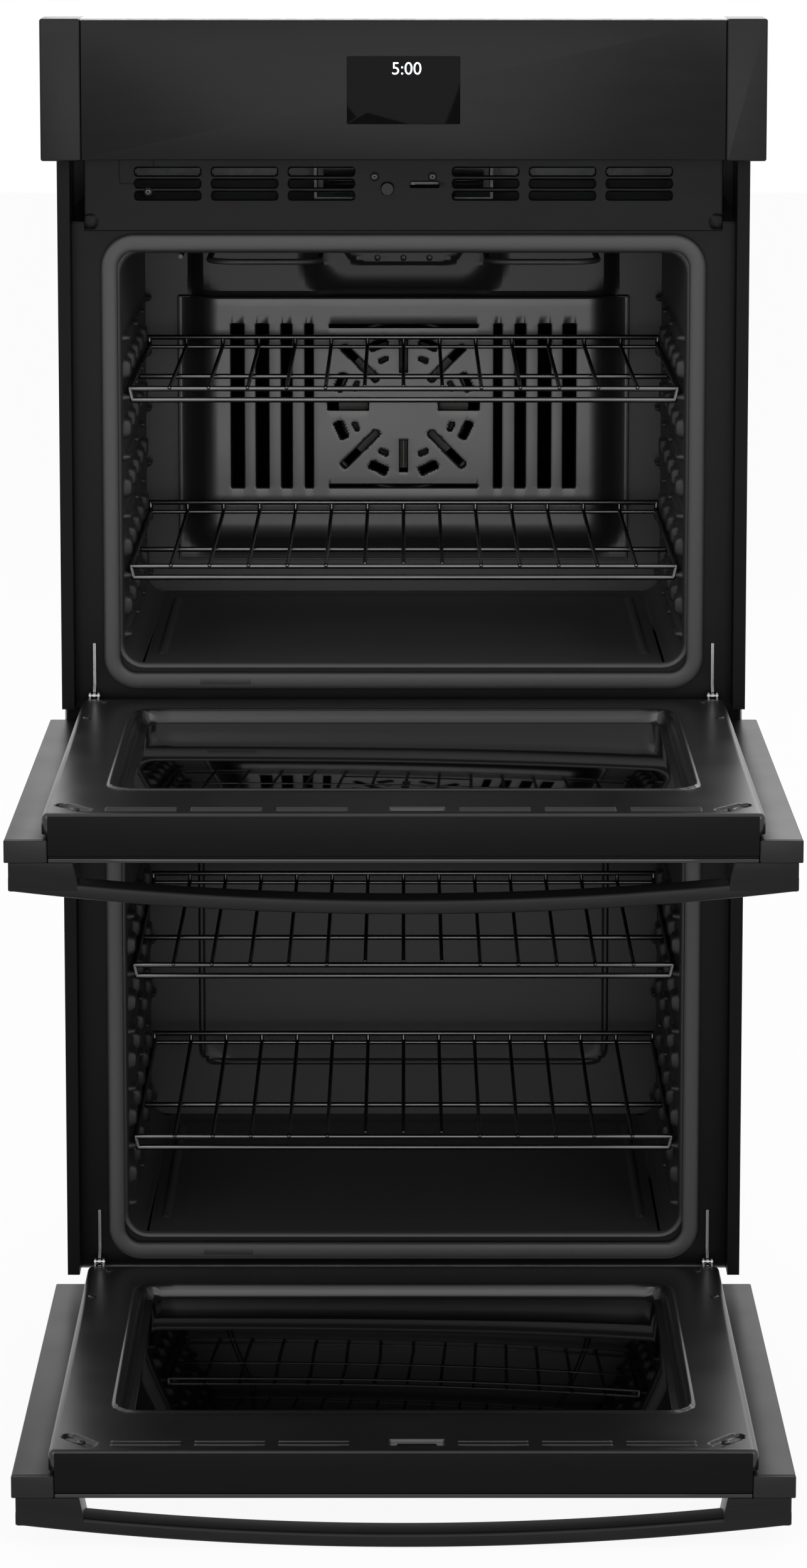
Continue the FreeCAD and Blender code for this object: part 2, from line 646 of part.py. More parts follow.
def convection():
    """Make the fan, its motor and the slotted cover in front of it."""
    axis = "upper_floor + fan_rise"
    blades = [rod("fan_hub", "y", ("0", "cavity_back - 22", axis), "fan_hub_radius", "16"),
              rod("fan_plate", "y", ("0", "cavity_back - 8", axis), "fan_radius", "1.5"),
              rod("fan_shaft", "y", ("0", "cavity_back - 10", axis), "shaft_radius", "60")]
    for blade in range(6):
        vane = box(f"fan_vane_{blade}", ("-0.75", "0.75"), ("cavity_back - 22", "cavity_back - 7.5"),
                   ("30", "fan_radius - 4"))
        turned = group(f"fan_vane_turned_{blade}", vane)
        turned.Placement = FreeCAD.Placement(
            FreeCAD.Vector(), FreeCAD.Rotation(FreeCAD.Vector(0, 1, 0), 60 * blade))
        bind(turned, "Placement.Base.z", axis)
        blades.append(turned)
    node("convection_fan", fuse("fan", *blades))
    case = rod("motor_case", "y", ("0", "cavity_back + cavity_wall", axis), "motor_radius", "motor_length")
    bearing = rod("motor_bore", "y", ("0", "cavity_back", axis), "shaft_radius + running_fit",
                  "motor_length - 10")
    node("convection_motor", cut("motor", case, bearing))
    shield = body("cover_body")
    low = "upper_floor + cover_rise"
    high = "upper_floor + cavity_height - cover_head"
    face = sketch(shield, "cover_outline", "XZ_Plane", "-cavity_back")
    rectangle(face, ("-cover_across", "cover_across"), (low, high))
    block = pad(shield, "cover_block", face, "cover_depth")
    round_edges(shield, "cover_corners", block, ALONG_Y, "gasket_corner")
    inside = sketch(shield, "cover_inside", "XZ_Plane", "-cavity_back")
    rectangle(inside, ("-cover_across + 8", "cover_across - 8"), (f"{low} + 8", f"{high} - 8"))
    pocket(shield, "cover_hollow", inside, "cover_depth - cavity_wall", reverse=True)
    slots = sketch(shield, "cover_slots", "XZ_Plane", "-cavity_back")
    for column, half in ((191.6, 8.4), (163, 8.4), (134.9, 7.3), (108.9, 5.5)):
        for side in ("-", ""):
            rectangle(slots, (f"{side}{column} - {half}", f"{side}{column} + {half}"),
                      (f"{axis} - 97", f"{axis} + 97"))
    for rise in (91, -92):
        rectangle(slots, ("-86", "86"), (f"{axis} + {rise} - 3", f"{axis} + {rise} + 3"))
    for rise in (62, -58):
        rectangle(slots, ("-6", "6"), (f"{axis} + {rise} - 20", f"{axis} + {rise} + 20"))
    for across in (-64, 64):
        rectangle(slots, (f"{across} - 24", f"{across} + 24"), (f"{axis} - 6", f"{axis} + 6"))
    pocket(shield, "cover_slots_cut", slots)
    node("convection_cover", shield)


def blower():
    """Make the cross-flow blower over the upper oven."""
    base = "upper_floor + cavity_height + flange_head + sheet_wall"
    centre = f"{base} + rotor_radius + blower_room + sheet_wall"
    radius = "(rotor_radius + blower_room + sheet_wall)"
    half = "(rotor_length / 2 + blower_room + 3)"
    outside = box("blower_outside", (f"-{half}", half),
                  (f"rotor_depth - {radius}", f"rotor_depth + {radius}"), (base, f"{centre} + {radius}"))
    inside = box("blower_inside", (f"-{half} + 3", f"{half} - 3"),
                 (f"rotor_depth - {radius} - 5", f"rotor_depth + {radius} - sheet_wall"),
                 (f"{base} + sheet_wall", f"{centre} + {radius} + 5"))
    bore = rod("blower_bore", "x", (f"-{half} - 1", "rotor_depth", centre),
               "shaft_radius + running_fit", f"2 * {half} + 2")
    node("blower_housing", cut("blower_case", outside, inside, bore))
    drum = rod("rotor_drum", "x", ("-rotor_length / 2", "rotor_depth", centre), "rotor_radius", "rotor_length")
    hollow = rod("rotor_hollow", "x", ("-rotor_length / 2 + 3", "rotor_depth", centre),
                 "rotor_radius - 2", "rotor_length - 6")
    slots = []
    for step in range(4):
        slot = box(f"rotor_slot_{step}", ("-rotor_length / 2 + 6", "rotor_length / 2 - 6"),
                   ("-5", "5"), ("-rotor_radius - 1", "rotor_radius + 1"))
        turned = group(f"rotor_slot_turned_{step}", slot)
        turned.Placement = FreeCAD.Placement(
            FreeCAD.Vector(), FreeCAD.Rotation(FreeCAD.Vector(1, 0, 0), 45 * step))
        bind(turned, "Placement.Base.y", "rotor_depth")
        bind(turned, "Placement.Base.z", centre)
        slots.append(turned)
    cage = cut("rotor_cage", drum, hollow, *slots)
    shaft = rod("rotor_shaft", "x", (f"-{half} - 4", "rotor_depth", centre), "shaft_radius", f"2 * {half} + 8")
    node("blower_rotor", fuse("rotor", cage, shaft))


def fittings():
    """Make the lamps, temperature probes and insulation of both ovens."""
    lamps = []
    probes = []
    blankets = []
    across = "cavity_across + cavity_wall + clearance"
    for oven, floor in (("upper", "upper_floor"), ("lower", "lower_floor")):
        ceiling = f"{floor} + cavity_height"
        lamps.append(rod(f"lamp_{oven}", "z", ("0", "cavity_back / 2", f"{ceiling} - 7"), "25", "7"))
        start = ("-cavity_across + 45", "cavity_back - 80", f"{ceiling} - 40")
        probes.append(rod(f"probe_{oven}", "y", start, "2.5", "80"))
        deep = ("blanket_front", "cavity_back")
        outer = box(f"blanket_out_{oven}", (f"-({across} + blanket_wall)", f"{across} + blanket_wall"), deep,
                    (f"{floor} - cavity_wall - bake_room - 13", f"{ceiling} + cavity_wall + blanket_wall"))
        inner = box(f"blanket_in_{oven}", (f"-({across})", across), ("blanket_front - 1", "cavity_back + 1"),
                    (f"{floor} - cavity_wall - bake_room", f"{ceiling} + cavity_wall + clearance"))
        blankets.append(cut(f"blanket_{oven}", outer, inner))
    node("oven_lamps", group("lamps", *lamps))
    node("temperature_probes", group("probes", *probes))
    node("insulation_blankets", group("blankets", *blankets))


# ---------------------------------------------------------------- doors

def hang(label, pivot, thing):
    """Turn a piece drawn closed about the hinge axis down onto its open door."""
    held = group(f"{label}_hung", thing)
    held.Placement = FreeCAD.Placement(FreeCAD.Vector(), FreeCAD.Rotation(FreeCAD.Vector(1, 0, 0), 90))
    bind(held, "Placement.Base.y", "pivot_depth")
    bind(held, "Placement.Base.z", pivot)
    node(label, held)


def mirrored(across, side):
    """Swap a (low, high) pair along X to one side of the middle."""
    if side == "-":
        return tuple(f"-({formula})" for formula in reversed(across))
    return across


def liner_screws(door):
    """Make the six flush screws in a door's back face."""
    spots = (("liner_across - 24", "30"), ("liner_across - 12", "115"), ("liner_across - 30", "door_top - 30"))
    heads = []
    for side in ("-", ""):
        for across, rise in spots:
            start = (f"{side}({across})", "door_back - screw_head", rise)
            heads.append(rod(f"{door}_screw", "y", start, "screw_radius", "screw_head"))
    return heads


def liner(door):
    """Make the pressed back of a door: rim, window recess, latch pocket and hinge notches."""
    shape = body(f"{door}_liner_body")
    face = sketch(shape, f"{door}_liner_outline", "XZ_Plane", "-door_back")
    rectangle(face, ("-liner_across", "liner_across"), ("liner_rise", "liner_top"))
    block = pad(shape, f"{door}_liner_block", face, "door_back - stile_back")
    back = size("door_back")

    def on_back(edge):
        return all(abs(vertex.Y - back) < 1e-6 for vertex in edge.Vertexes)

    round_edges(shape, f"{door}_liner_rim", block, on_back, "liner_corner")
    hollow = sketch(shape, f"{door}_liner_hollow", "XZ_Plane", "-stile_back")
    side = "(liner_across - liner_side_wall)"
    rectangle(hollow, (f"-{side}", side), ("liner_rise + liner_side_wall", "liner_top - liner_side_wall"))
    rectangle(hollow, ("-window_across - 2", "window_across + 2"), ("window_low - 2", "window_high + 2"))
    pocket(shape, f"{door}_liner_hollow_cut", hollow, "door_back - stile_back - liner_wall")
    recess = sketch(shape, f"{door}_liner_recess", "XZ_Plane", "-door_back")
    rectangle(recess, ("-window_across", "window_across"), ("window_low", "window_high"))
    recess_cut = pocket(shape, f"{door}_liner_recess_cut", recess, "window_recess")
    window = sketch(shape, f"{door}_liner_window", "XZ_Plane", "-door_back")
    rectangle(window, ("-window_across + window_band", "window_across - window_band"),
              ("window_low + window_band", "window_high - window_band"))
    pocket(shape, f"{door}_liner_window_cut", window)
    tools = [box(f"{door}_pocket", ("pocket_centre - pocket_across", "pocket_centre + pocket_across"),
                 ("door_back - 5", "door_back + 1"), ("door_top - 33", "door_top - 17"))]
    for sign in ("-", ""):
        middle = f"{sign}hinge_across"
        half = "(hinge_channel_width / 2 + clearance)"
        tools.append(box(f"{door}_notch", (f"{middle} - {half}", f"{middle} + {half}"),
                         ("stile_back - 1", "door_back - liner_wall"),
                         ("liner_rise - 1", "liner_rise + liner_side_wall + 1")))
    for head in liner_screws(door):
        tools.append(head)
    return cut(f"{door}_liner_cut", shape, *tools)


def window_panes(door):
    """Make the two panes in a door's window frame."""
    across = "(window_across - window_band - clearance)"
    high = ("window_low + window_band + clearance", "window_high - window_band - clearance")
    panes = []
    for index, face in enumerate(("door_back - window_recess - 2", "stile_back + pane_wall + clearance")):
        panes.append(box(f"{door}_pane_{index}", (f"-{across}", across), (f"{face} - pane_wall", face), high))
    return group(f"{door}_panes", *panes)


def stiles(door):
    """Make the two side stiles of a door."""
    bars = []
    for side in ("-", ""):
        across = mirrored(("panel_width / 2 - stile_width", "panel_width / 2"), side)
        bars.append(box(f"{door}_stile", across, ("door_front", "stile_back"), ("-pivot_rise", "door_top")))
    return group(f"{door}_stile_pair", *bars)


def door_insulation(door):
    """Make the insulation frame between a door's glass and its liner."""
    across = "(panel_width / 2 - stile_width - clearance)"
    deep = ("door_front + front_glass_wall + clearance", "stile_back - clearance")
    outer = box(f"{door}_wool_out", (f"-{across}", across), deep, ("-pivot_rise + rail_height + 5", "door_top - 40"))
    inner = box(f"{door}_wool_in", ("-window_across", "window_across"),
                ("door_front", "door_back"), ("window_low", "window_high"))
    return cut(f"{door}_wool", outer, inner)


def hinge_channels(door):
    """Make the two hinge channels inside a door, each with an eye for the pin."""
    channels = []
    for side in ("-", ""):
        middle = f"{side}hinge_across"
        half = "hinge_channel_width / 2"
        gap = "(hinge_channel_width / 2 - hinge_channel_wall)"
        block = box(f"{door}_channel", (f"{middle} - {half}", f"{middle} + {half}"),
                    ("stile_back + 4.2", "door_back - screw_head - clearance"),
                    ("-pivot_rise", "hinge_channel_length"))
        ear = rod(f"{door}_ear", "x", (f"{middle} - {half}", "0", "0"), "hinge_ear_radius", "hinge_channel_width")
        inside = box(f"{door}_channel_in", (f"{middle} - {gap}", f"{middle} + {gap}"),
                     ("stile_back + 4.2 + hinge_channel_wall", "10"),
                     ("-10", "hinge_channel_length - hinge_channel_wall"))
        eye = rod(f"{door}_eye", "x", (f"{middle} - {half} - 1", "0", "0"),
                  "hinge_pin_radius + running_fit", "hinge_channel_width + 2")
        channels.append(cut(f"{door}_hinge", fuse(f"{door}_hinge_block", block, ear), inside, eye))
    return group(f"{door}_hinge_pair", *channels)


def handle_post(door, side):
    """Make one slanted post between a door and its handle bar."""
    post = body(f"{door}_post_{'left' if side else 'right'}")
    plan = sketch(post, f"{door}_post_plan", "XY_Plane", "door_top - post_depth")
    front = "door_front - handle_stand"
    corners = [
        ("handle_across", "door_front"),
        ("handle_across - post_base", "door_front"),
        ("handle_across - post_base - post_flare", front),
        ("handle_across", front),
    ]
    outline(plan, [(f"{side}({across})", deep) for across, deep in corners])
    pad(post, f"{door}_post_pad", plan, "post_depth")
    return post


def handle(door):
    """Make a door's bowed bar and the two posts that carry it."""
    posts = [handle_post(door, side) for side in ("-", "")]
    centre = ("0", "door_front - handle_stand - handle_bow + handle_radius", "door_top - handle_depth")
    outer = rod(f"{door}_bar_outer", "z", centre, "handle_radius", "handle_depth")
    inner = rod(f"{door}_bar_inner", "z", centre, "handle_radius - handle_wall", "handle_depth")
    window = box(f"{door}_bar_window", ("-handle_across", "handle_across"),
                 ("door_front - handle_stand - handle_bow - 1", "door_front"),
                 ("door_top - handle_depth", "door_top"))
    bow = DOC.addObject("Part::Common", f"{door}_bow")
    bow.Base = cut(f"{door}_band", outer, inner)
    bow.Tool = window
    return cut(f"{door}_bar", bow, *posts), group(f"{door}_posts", *posts)


def door(oven, pivot):
    """Make one door's pieces and hang them open on their hinge axis."""
    name = f"{oven}_door"
    inner = "(panel_width / 2 - stile_width - 0.2)"
    glass_back = "door_front + front_glass_wall"
    hang(f"{name}_liner", pivot, liner(name))
    hang(f"{name}_screws", pivot, group(f"{name}_heads", *liner_screws(name)))
    hang(f"{name}_window_panes", pivot, window_panes(name))
    hang(f"{name}_stiles", pivot, stiles(name))
    hang(f"{name}_front_glass", pivot, box(f"{name}_glass", (f"-{inner}", inner), ("door_front", glass_back),
                                           ("1 - pivot_rise", "door_top - 0.5")))
    cap = box(f"{name}_cap", (f"-{inner}", inner), ("door_front + top_trim_setback", "door_back - liner_corner"),
              ("liner_top", "door_top"))
    leg = box(f"{name}_cap_leg", (f"-{inner}", inner),
              ("door_front + top_trim_setback", "door_front + top_trim_setback + 1.5"), ("door_top - 20", "door_top"))
    hang(f"{name}_top_trim", pivot, fuse(f"{name}_cap_folds", cap, leg))
    hang(f"{name}_bottom_rail", pivot, box(f"{name}_rail", (f"-{inner}", inner), (glass_back, "stile_back"),
                                           ("-pivot_rise", "rail_height")))
    hang(f"{name}_insulation", pivot, door_insulation(name))
    hang(f"{name}_hinges", pivot, hinge_channels(name))
    bar, posts = handle(name)
    hang(f"{name}_handle_bar", pivot, bar)
    hang(f"{name}_handle_posts", pivot, posts)


def hinge_arms():
    """Make the four arms that carry the doors: plate, boss and pin."""
    arms = []
    for oven in ("upper", "lower"):
        pivot = f"{oven}_pivot"
        corners = [(2.8, -2.8), (21.2, 15.6), (21.2, None), (6.2, None), (6.2, 11.8), (-2.8, 2.8)]
        for side in ("-", ""):
            middle = f"{side}hinge_across"
            plate = body(f"{oven}_arm")
            profile = sketch(plate, f"{oven}_arm_profile", "YZ_Plane", middle)
            points = []
            for deep, rise in corners:
                top = "hinge_arm_reach" if rise is None else rise
                points.append((f"pivot_depth + {deep}", f"{pivot} + {top}"))
            outline(profile, points)
            pad(plate, f"{oven}_arm_pad", profile, "hinge_arm_wall", middle=True)
            boss = rod(f"{oven}_arm_boss", "x", (f"{middle} - hinge_arm_wall / 2", "pivot_depth", pivot),
                       "hinge_pin_radius + 2", "hinge_arm_wall")
            pin = rod(f"{oven}_arm_pin", "x", (f"{middle} - hinge_channel_width / 2 - 0.5", "pivot_depth", pivot),
                      "hinge_pin_radius", "hinge_channel_width + 1")
            arms.append(fuse(f"{oven}_arm_whole", plate, boss, pin))
    node("hinge_arms", group("arms", *arms))


# ---------------------------------------------------------------- latches and switches

def latches():
    """Make each oven's latch hook, its pin, and the door switch with its plunger."""
    mounts = []
    for oven in ("upper", "lower"):
        line = f"({oven}_floor + latch_line)"
        plate = f"({oven}_floor + cavity_height + flange_head + sheet_wall)"
        bottom = f"({line} - hook_wall / 2)"
        arm = box(f"{oven}_hook_arm", ("hook_pin_across - hook_length", "hook_pin_across"),
                  ("hook_pin_depth - hook_width / 2", "hook_pin_depth + hook_width / 2"),
                  (bottom, f"{bottom} + hook_wall"))
        tooth = box(f"{oven}_hook_tooth", ("hook_pin_across - hook_length", "hook_pin_across - hook_length + 6"),
                    ("hook_pin_depth - hook_width / 2 - 5", "hook_pin_depth"), (bottom, f"{bottom} + hook_wall"))
        ring = rod(f"{oven}_hook_ring", "z", ("hook_pin_across", "hook_pin_depth", bottom),
                   "hook_pin_radius + 3.5", "hook_wall")
        eye = rod(f"{oven}_hook_eye", "z", ("hook_pin_across", "hook_pin_depth", f"{bottom} - 1"),
                  "hook_pin_radius + running_fit", "hook_wall + 2")
        node(f"{oven}_latch_hook", cut(f"{oven}_hook", fuse(f"{oven}_hook_whole", arm, tooth, ring), eye))
        seat = rod(f"{oven}_hook_seat", "z", ("hook_pin_across", "hook_pin_depth", plate), "8",
                   f"{bottom} - clearance - {plate}")
        pin = rod(f"{oven}_hook_pin", "z", ("hook_pin_across", "hook_pin_depth", plate), "hook_pin_radius",
                  f"{line} + 6 - {plate}")
        mounts.append(fuse(f"{oven}_latch_mount", seat, pin))
        start = "(-liner_standoff - plunger_free)"
        height = f"{oven}_floor + latch_line - 4"
        stem = rod(f"{oven}_plunger_stem", "y", ("plunger_across", start, height), "plunger_radius", "plunger_length")
        node(f"{oven}_door_plunger", group(f"{oven}_plunger", stem))
        rear = f"{start} + plunger_length + plunger_travel + clearance"
        switch = box(f"{oven}_switch", ("plunger_across - 12", "plunger_across + 12"), (rear, f"{rear} + 24"),
                     (plate, f"{height} + 10"))
        mounts.append(switch)
    node("latch_mounts", group("latch_and_switch_mounts", *mounts))


# ---------------------------------------------------------------- controls

def controls():
    """Make the control panel: end caps, glass, tray and circuit board."""
    low = "total_height - control_height"
    inner = "(panel_width / 2 - cap_width)"
    caps = []
    for side in ("-", ""):
        across = mirrored((inner, "panel_width / 2"), side)
        caps.append(box("cap", across, ("-front_stand", "0"), (low, "total_height")))
    node("control_end_caps", group("caps", *caps))
    back = "-front_stand + glass_drop + control_glass_wall"
    node("control_glass", box("glass", (f"-{inner} + 0.2", f"{inner} - 0.2"), ("-front_stand + glass_drop", back),
                              (f"{low} + 1", "total_height - glass_drop")))
    outside = box("tray_outside", (f"-{inner} + clearance", f"{inner} - clearance"), (f"{back} + clearance", "tray_back"),
                  (f"{low} + 3", "total_height - sheet_wall"))
    inside = box("tray_inside", (f"-{inner} + 2", f"{inner} - 2"), (f"{back} + clearance + trim_wall", "tray_back + 1"),
                 (f"{low} + 3 + trim_wall", "total_height - sheet_wall - trim_wall"))
    node("control_tray", cut("tray", outside, inside))
    board = f"{back} + 2 * clearance + trim_wall"
    node("control_board", box("board", ("-120", "120"), (board, f"{board} + 1.6"),
                              (f"{low} + 30", f"{low} + control_height - 20")))


# ---------------------------------------------------------------- assembly

def check(things):
    """Stop if any object failed, or any sub-part has no valid shape."""
    for thing in DOC.Objects:
        if {"Invalid", "Error"} & set(thing.State):
            raise RuntimeError(f"{thing.Label} failed: {thing.State}")
    for thing in things:
        if thing.Shape.isNull() or not thing.Shape.isValid():
            raise RuntimeError(f"{thing.Label} has no valid shape")


def write(things):
    """Write each sub-part to a file of its own."""
    os.makedirs("parts", exist_ok=True)
    for thing in things:
        thing.Shape.exportStep(f"parts/{thing.Label}.step")
        print(f"{thing.Label}: {len(thing.Shape.Solids)} solids, {thing.Shape.Volume / 1000:.1f} cm3")


chassis()
side_trims()
vent_panel("upper_vent_panel", "upper_floor", "total_height - control_height + 3")
vent_panel("middle_vent_panel", "lower_floor", "upper_floor - upper_flange_drop + 4")
duct_plates()
cavity("upper_cavity", "upper_floor", "upper_floor - upper_flange_drop")
cavity("lower_cavity", "lower_floor", "sheet_wall")
node("door_gaskets", group("gaskets", gasket("upper", "upper_floor"), gasket("lower", "lower_floor")))
racks()
heating()
convection()
blower()
fittings()
door("upper", "upper_pivot")
door("lower", "lower_pivot")
hinge_arms()
latches()
controls()
DOC.recompute()
check(NODES)
write(NODES)
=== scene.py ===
import json
import logging
import math
from collections.abc import Iterable, Sequence
from dataclasses import dataclass
from enum import Enum

import bmesh
import bpy
import numpy as np
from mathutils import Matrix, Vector


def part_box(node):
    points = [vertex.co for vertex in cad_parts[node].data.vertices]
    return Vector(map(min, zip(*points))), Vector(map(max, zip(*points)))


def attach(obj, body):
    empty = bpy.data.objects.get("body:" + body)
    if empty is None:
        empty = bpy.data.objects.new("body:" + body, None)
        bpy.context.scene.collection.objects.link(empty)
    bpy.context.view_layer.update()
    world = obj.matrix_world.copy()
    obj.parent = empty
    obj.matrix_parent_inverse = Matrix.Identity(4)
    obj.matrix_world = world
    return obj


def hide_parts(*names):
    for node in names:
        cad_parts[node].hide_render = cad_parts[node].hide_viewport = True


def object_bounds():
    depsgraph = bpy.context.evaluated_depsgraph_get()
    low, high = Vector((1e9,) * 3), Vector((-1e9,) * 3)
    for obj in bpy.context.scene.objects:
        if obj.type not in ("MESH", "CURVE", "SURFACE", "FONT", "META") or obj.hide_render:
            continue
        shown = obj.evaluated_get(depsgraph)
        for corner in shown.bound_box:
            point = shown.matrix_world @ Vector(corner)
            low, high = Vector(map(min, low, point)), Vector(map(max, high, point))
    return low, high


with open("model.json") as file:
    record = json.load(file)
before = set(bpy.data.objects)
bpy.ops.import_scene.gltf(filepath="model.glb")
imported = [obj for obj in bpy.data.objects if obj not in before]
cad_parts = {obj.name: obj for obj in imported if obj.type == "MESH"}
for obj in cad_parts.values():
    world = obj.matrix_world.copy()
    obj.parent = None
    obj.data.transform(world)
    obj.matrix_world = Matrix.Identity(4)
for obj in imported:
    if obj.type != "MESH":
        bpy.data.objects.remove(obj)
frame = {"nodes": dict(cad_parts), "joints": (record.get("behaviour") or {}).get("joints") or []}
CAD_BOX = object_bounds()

log = logging.getLogger("wall_oven")

Span = tuple[float, float]
Triple = tuple[float, float, float]
MM = 0.001


class Grain(Enum):
    """The fine pattern that a finish carries."""

    SPECKLE = "speckle"
    BRUSHED = "brushed"
    PEEL = "peel"
    BRAID = "braid"
    SPANGLE = "spangle"
    WOOL = "wool"


@dataclass(frozen=True)
class Finish:
    """One surface finish, made as a procedural material."""

    name: str
    colour: Triple
    roughness: float
    metallic: float = 0.0
    specular: float = 0.5
    spread: float = 0.15
    rough_spread: float = 0.05
    grain: Grain = Grain.SPECKLE
    scale: float = 350.0
    bump: float = 0.00003
    coat: float = 0.0
    glow: float = 0.0

    def material(self) -> bpy.types.Material:
        """Give the material of this finish, made on its first use.

        Returns:
            The material, shared by every piece of this finish.
        """
        known = bpy.data.materials.get(self.name)
        if known:
            return known
        made = bpy.data.materials.new(self.name)
        made.use_nodes = True
        tree = made.node_tree
        shader = tree.nodes["Principled BSDF"]
        shader.inputs["Metallic"].default_value = self.metallic
        shader.inputs["Specular IOR Level"].default_value = self.specular
        shader.inputs["Coat Weight"].default_value = self.coat
        shader.inputs["Coat Roughness"].default_value = 0.05
        if self.glow:
            shader.inputs["Emission Color"].default_value = (*self.colour, 1.0)
            shader.inputs["Emission Strength"].default_value = self.glow
        fine = self._pattern(tree)
        cloud = tree.nodes.new("ShaderNodeTexNoise")
        cloud.inputs["Scale"].default_value = 9.0
        cloud.inputs["Detail"].default_value = 3.0
        self._tint(tree, fine, cloud, shader)
        rough = tree.nodes.new("ShaderNodeMapRange")
        rough.inputs["To Min"].default_value = max(self.roughness - self.rough_spread, 0.01)
        rough.inputs["To Max"].default_value = min(self.roughness + self.rough_spread, 1.0)
        tree.links.new(cloud.outputs["Fac"], rough.inputs["Value"])
        tree.links.new(rough.outputs["Result"], shader.inputs["Roughness"])
        relief = tree.nodes.new("ShaderNodeBump")
        relief.inputs["Strength"].default_value = 1.0
        relief.inputs["Distance"].default_value = self.bump
        tree.links.new(fine, relief.inputs["Height"])
        tree.links.new(relief.outputs["Normal"], shader.inputs["Normal"])
        made.diffuse_color = (*self.colour, 1.0)
        return made

    def _tint(self, tree: bpy.types.NodeTree, fine: bpy.types.NodeSocket,
              cloud: bpy.types.Node, shader: bpy.types.Node) -> None:
        """Vary the colour with the fine pattern and a broad cloud.

        Args:
            tree: the material's nodes.
            fine: the fine pattern's output.
            cloud: the broad noise node.
            shader: the node that takes the colour.
        """
        blend = tree.nodes.new("ShaderNodeMath")
        blend.operation = "MULTIPLY_ADD"
        blend.inputs[1].default_value = 0.6
        tree.links.new(fine, blend.inputs[0])
        tree.links.new(cloud.outputs["Fac"], blend.inputs[2])
        ramp = tree.nodes.new("ShaderNodeValToRGB")
        low, high = (tuple(min(c * (1 + way * self.spread), 1.0) for c in self.colour) for way in (-1, 1))
        ramp.color_ramp.elements[0].position = 0.45
        ramp.color_ramp.elements[1].position = 1.15 if self.grain is Grain.WOOL else 1.0
        ramp.color_ramp.elements[0].color = (*low, 1.0)
        ramp.color_ramp.elements[1].color = (*high, 1.0)
        tree.links.new(blend.outputs[0], ramp.inputs["Fac"])
        tree.links.new(ramp.outputs["Color"], shader.inputs["Base Color"])

    def _pattern(self, tree: bpy.types.NodeTree) -> bpy.types.NodeSocket:
        """Add the fine pattern's nodes.

        Args:
            tree: the material's nodes.

        Returns:
            The pattern's value output.
        """
        place = tree.nodes.new("ShaderNodeTexCoord")
        stretch = tree.nodes.new("ShaderNodeMapping")
        tree.links.new(place.outputs["Object"], stretch.inputs["Vector"])
        if self.grain is Grain.BRUSHED:
            stretch.inputs["Scale"].default_value = (0.02, 1.0, 1.0)
        if self.grain is Grain.BRAID:
            stretch.inputs["Rotation"].default_value = (0.0, math.radians(45), 0.0)
        kinds = {Grain.SPANGLE: "ShaderNodeTexVoronoi", Grain.BRAID: "ShaderNodeTexWave"}
        texture = tree.nodes.new(kinds.get(self.grain, "ShaderNodeTexNoise"))
        texture.inputs["Scale"].default_value = self.scale
        tree.links.new(stretch.outputs["Vector"], texture.inputs["Vector"])
        if self.grain is Grain.SPANGLE:
            grey = tree.nodes.new("ShaderNodeSeparateColor")
            tree.links.new(texture.outputs["Color"], grey.inputs["Color"])
            return grey.outputs["Red"]
        return texture.outputs["Fac"]


PANEL_GLASS = Finish("panel_glass", (0.0028, 0.0028, 0.0034), 0.22, specular=0.14, scale=900,
                     bump=0.000002)
DISPLAY_GLASS = Finish("display_glass", (0.0006, 0.0006, 0.0008), 0.04, specular=0.05,
                       rough_spread=0.02, bump=0.000001)
DIGITS = Finish("display_digits", (0.75, 0.82, 0.9), 0.5, spread=0.03, glow=0.9)
DARK_STEEL = Finish("dark_stainless", (0.011, 0.011, 0.0115), 0.36, metallic=0.6, specular=0.25,
                    grain=Grain.BRUSHED, scale=2200, bump=0.000012, rough_spread=0.05)
BLACK_PAINT = Finish("satin_black_paint", (0.0028, 0.0028, 0.003), 0.34, specular=0.1,
                     grain=Grain.PEEL, scale=700, bump=0.00001)
TRIM_PAINT = Finish("trim_black_paint", (0.0028, 0.0028, 0.003), 0.4, specular=0.08,
                    grain=Grain.PEEL, scale=600, bump=0.00001)
ENAMEL = Finish("black_enamel", (0.0085, 0.0085, 0.009), 0.2, specular=0.6, grain=Grain.SPECKLE,
                scale=450, bump=0.000012, rough_spread=0.05)
# A lighter copy of the black enamel: its paler base colour is painted light for the broad highlight on the
# cover; its roughness and specular are its own.
LIT_COVER_ENAMEL = Finish("cover_enamel_painted_light", (0.022, 0.022, 0.023), 0.34, specular=0.8,
                      grain=Grain.SPECKLE, scale=450, bump=0.000012, rough_spread=0.04)
DOOR_ENAMEL = Finish("door_enamel", (0.007, 0.007, 0.0075), 0.3, specular=0.5, grain=Grain.SPECKLE,
                     scale=500, bump=0.000012, rough_spread=0.05)
BRAID_SEAL = Finish("woven_seal", (0.03, 0.03, 0.032), 0.46, specular=0.5, grain=Grain.BRAID,
                    scale=420, bump=0.00008, rough_spread=0.06)
SEAL_SLEEVE = Finish("seal_sleeve", (0.02, 0.02, 0.021), 0.5, specular=0.4, grain=Grain.PEEL,
                     scale=300)
DARK_WIRE = Finish("rack_wire_plating", (0.1, 0.1, 0.103), 0.28, metallic=1.0, scale=600,
                   bump=0.00001)
MIRROR_PANE = Finish("window_pane_glass", (0.0005, 0.0005, 0.0006), 0.03, specular=0.3,
                     rough_spread=0.015, bump=0.000001)
FRONT_GLASS = Finish("front_glass", (0.004, 0.004, 0.0046), 0.05, specular=0.5, rough_spread=0.02,
                     bump=0.000001)
HINGE_STEEL = Finish("plated_hinge_steel", (0.26, 0.26, 0.27), 0.24, metallic=1.0, scale=500,
                     bump=0.00002)
DARK_SCREW = Finish("dark_screw_steel", (0.06, 0.06, 0.062), 0.32, metallic=0.8, scale=800,
                    bump=0.00002)
